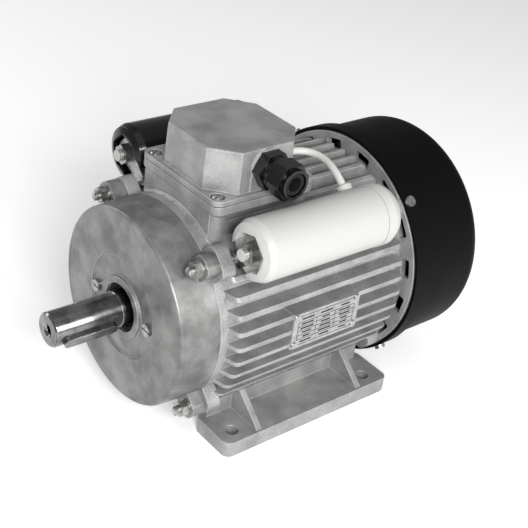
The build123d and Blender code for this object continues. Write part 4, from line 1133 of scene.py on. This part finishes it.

# %% [markdown]
# A thin black ring lies under each of the four lid screws, in the recess. It is painted
# shade: a dark sheet that stands for the shadow in the recess round the bright head.

# %% Painted shade rings round the lid screws
lid_centre_x = -33
lid_screw_reach_x = 35.3
lid_screw_reach_y = 35
# Painted shade: a thin black ring on the recess floor stands for the shadow round each head.
shade_ring_inner, shade_ring_outer = 3.65, 4.85
shade_ring_low, shade_ring_high = 178.45, 178.6
shade_ring_steps = 32
shade_ring_section = (
    (shade_ring_inner, shade_ring_low),
    (shade_ring_outer, shade_ring_low),
    (shade_ring_outer, shade_ring_high),
    (shade_ring_inner, shade_ring_high),
)
shade_ring_groups = []
for side_x in (-1, 1):
    for side_y in (-1, 1):
        centre = (lid_centre_x + side_x * lid_screw_reach_x, side_y * lid_screw_reach_y)
        shade_ring_rows = []
        for index in range(shade_ring_steps):
            angle = math.tau * index / shade_ring_steps
            shade_ring_rows.append(
                [
                    (centre[0] + radius * math.cos(angle), centre[1] + radius * math.sin(angle), z)
                    for radius, z in shade_ring_section
                ]
            )
        shade_ring_groups.append(shade_ring_rows)
skin_rows("lid_screw_painted_shade_rings", shade_ring_groups, True, "black_rubber")

# %% [markdown]
# Studio: a pale floor that glows a little, like lit paper, a soft light beside the
# camera, a wide one above, one on the right that draws the long highlights on round parts,
# one on the far side, and an even pale surround.

# %% Floor, lights and surround
reach = 6
floor_mesh = bpy.data.meshes.new("floor")
floor_mesh.from_pydata(
    [(-reach, -reach, 0), (reach, -reach, 0), (reach, reach, 0), (-reach, reach, 0)],
    [],
    [(0, 1, 2, 3)],
)
floor = bpy.data.objects.new("floor", floor_mesh)
bpy.context.scene.collection.objects.link(floor)
floor_material, floor_tree, floor_output = new_material("pale_floor")
floor_shader = add_node(
    floor_tree,
    "ShaderNodeBsdfPrincipled",
    values={
        "Base Color": linear("f4f4f4"),
        "Roughness": 0.9,
        "Emission Color": linear("ffffff"),
        "Emission Strength": 0.22,
    },
)
floor_tree.links.new(floor_shader.outputs["BSDF"], floor_output.inputs["Surface"])
floor_mesh.materials.append(floor_material)

surround = bpy.data.worlds.new("surround")
surround.use_nodes = True
surround.node_tree.nodes["Background"].inputs["Color"].default_value = linear("ffffff")
surround.node_tree.nodes["Background"].inputs["Strength"].default_value = 0.33
bpy.context.scene.world = surround


def soft_light(name, where, width, height, power):
    """Rectangular soft light at a place, aimed at the middle of the shaft."""
    data = bpy.data.lights.new(name, "AREA")
    data.shape = "RECTANGLE"
    data.size = width
    data.size_y = height
    data.energy = power
    lamp = bpy.data.objects.new(name, data)
    lamp.location = where
    direction = Vector((0, 0, shaft_height * MM)) - Vector(where)
    lamp.rotation_euler = direction.to_track_quat("-Z", "Y").to_euler()
    bpy.context.scene.collection.objects.link(lamp)


soft_light("key_light", (-0.662, -1.147, 0.794), width=0.5, height=0.5, power=25)
soft_light("top_light", (-0.2, -0.3, 1.5), width=1.2, height=1.2, power=2)
soft_light("right_light", (0.5, -1.25, 0.65), width=0.3, height=0.6, power=6)
soft_light("far_light", (-0.6, 1.4, 0.7), width=0.9, height=0.6, power=6)
bpy.context.scene.view_settings.view_transform = "Standard"
print("lights", len(bpy.data.lights))
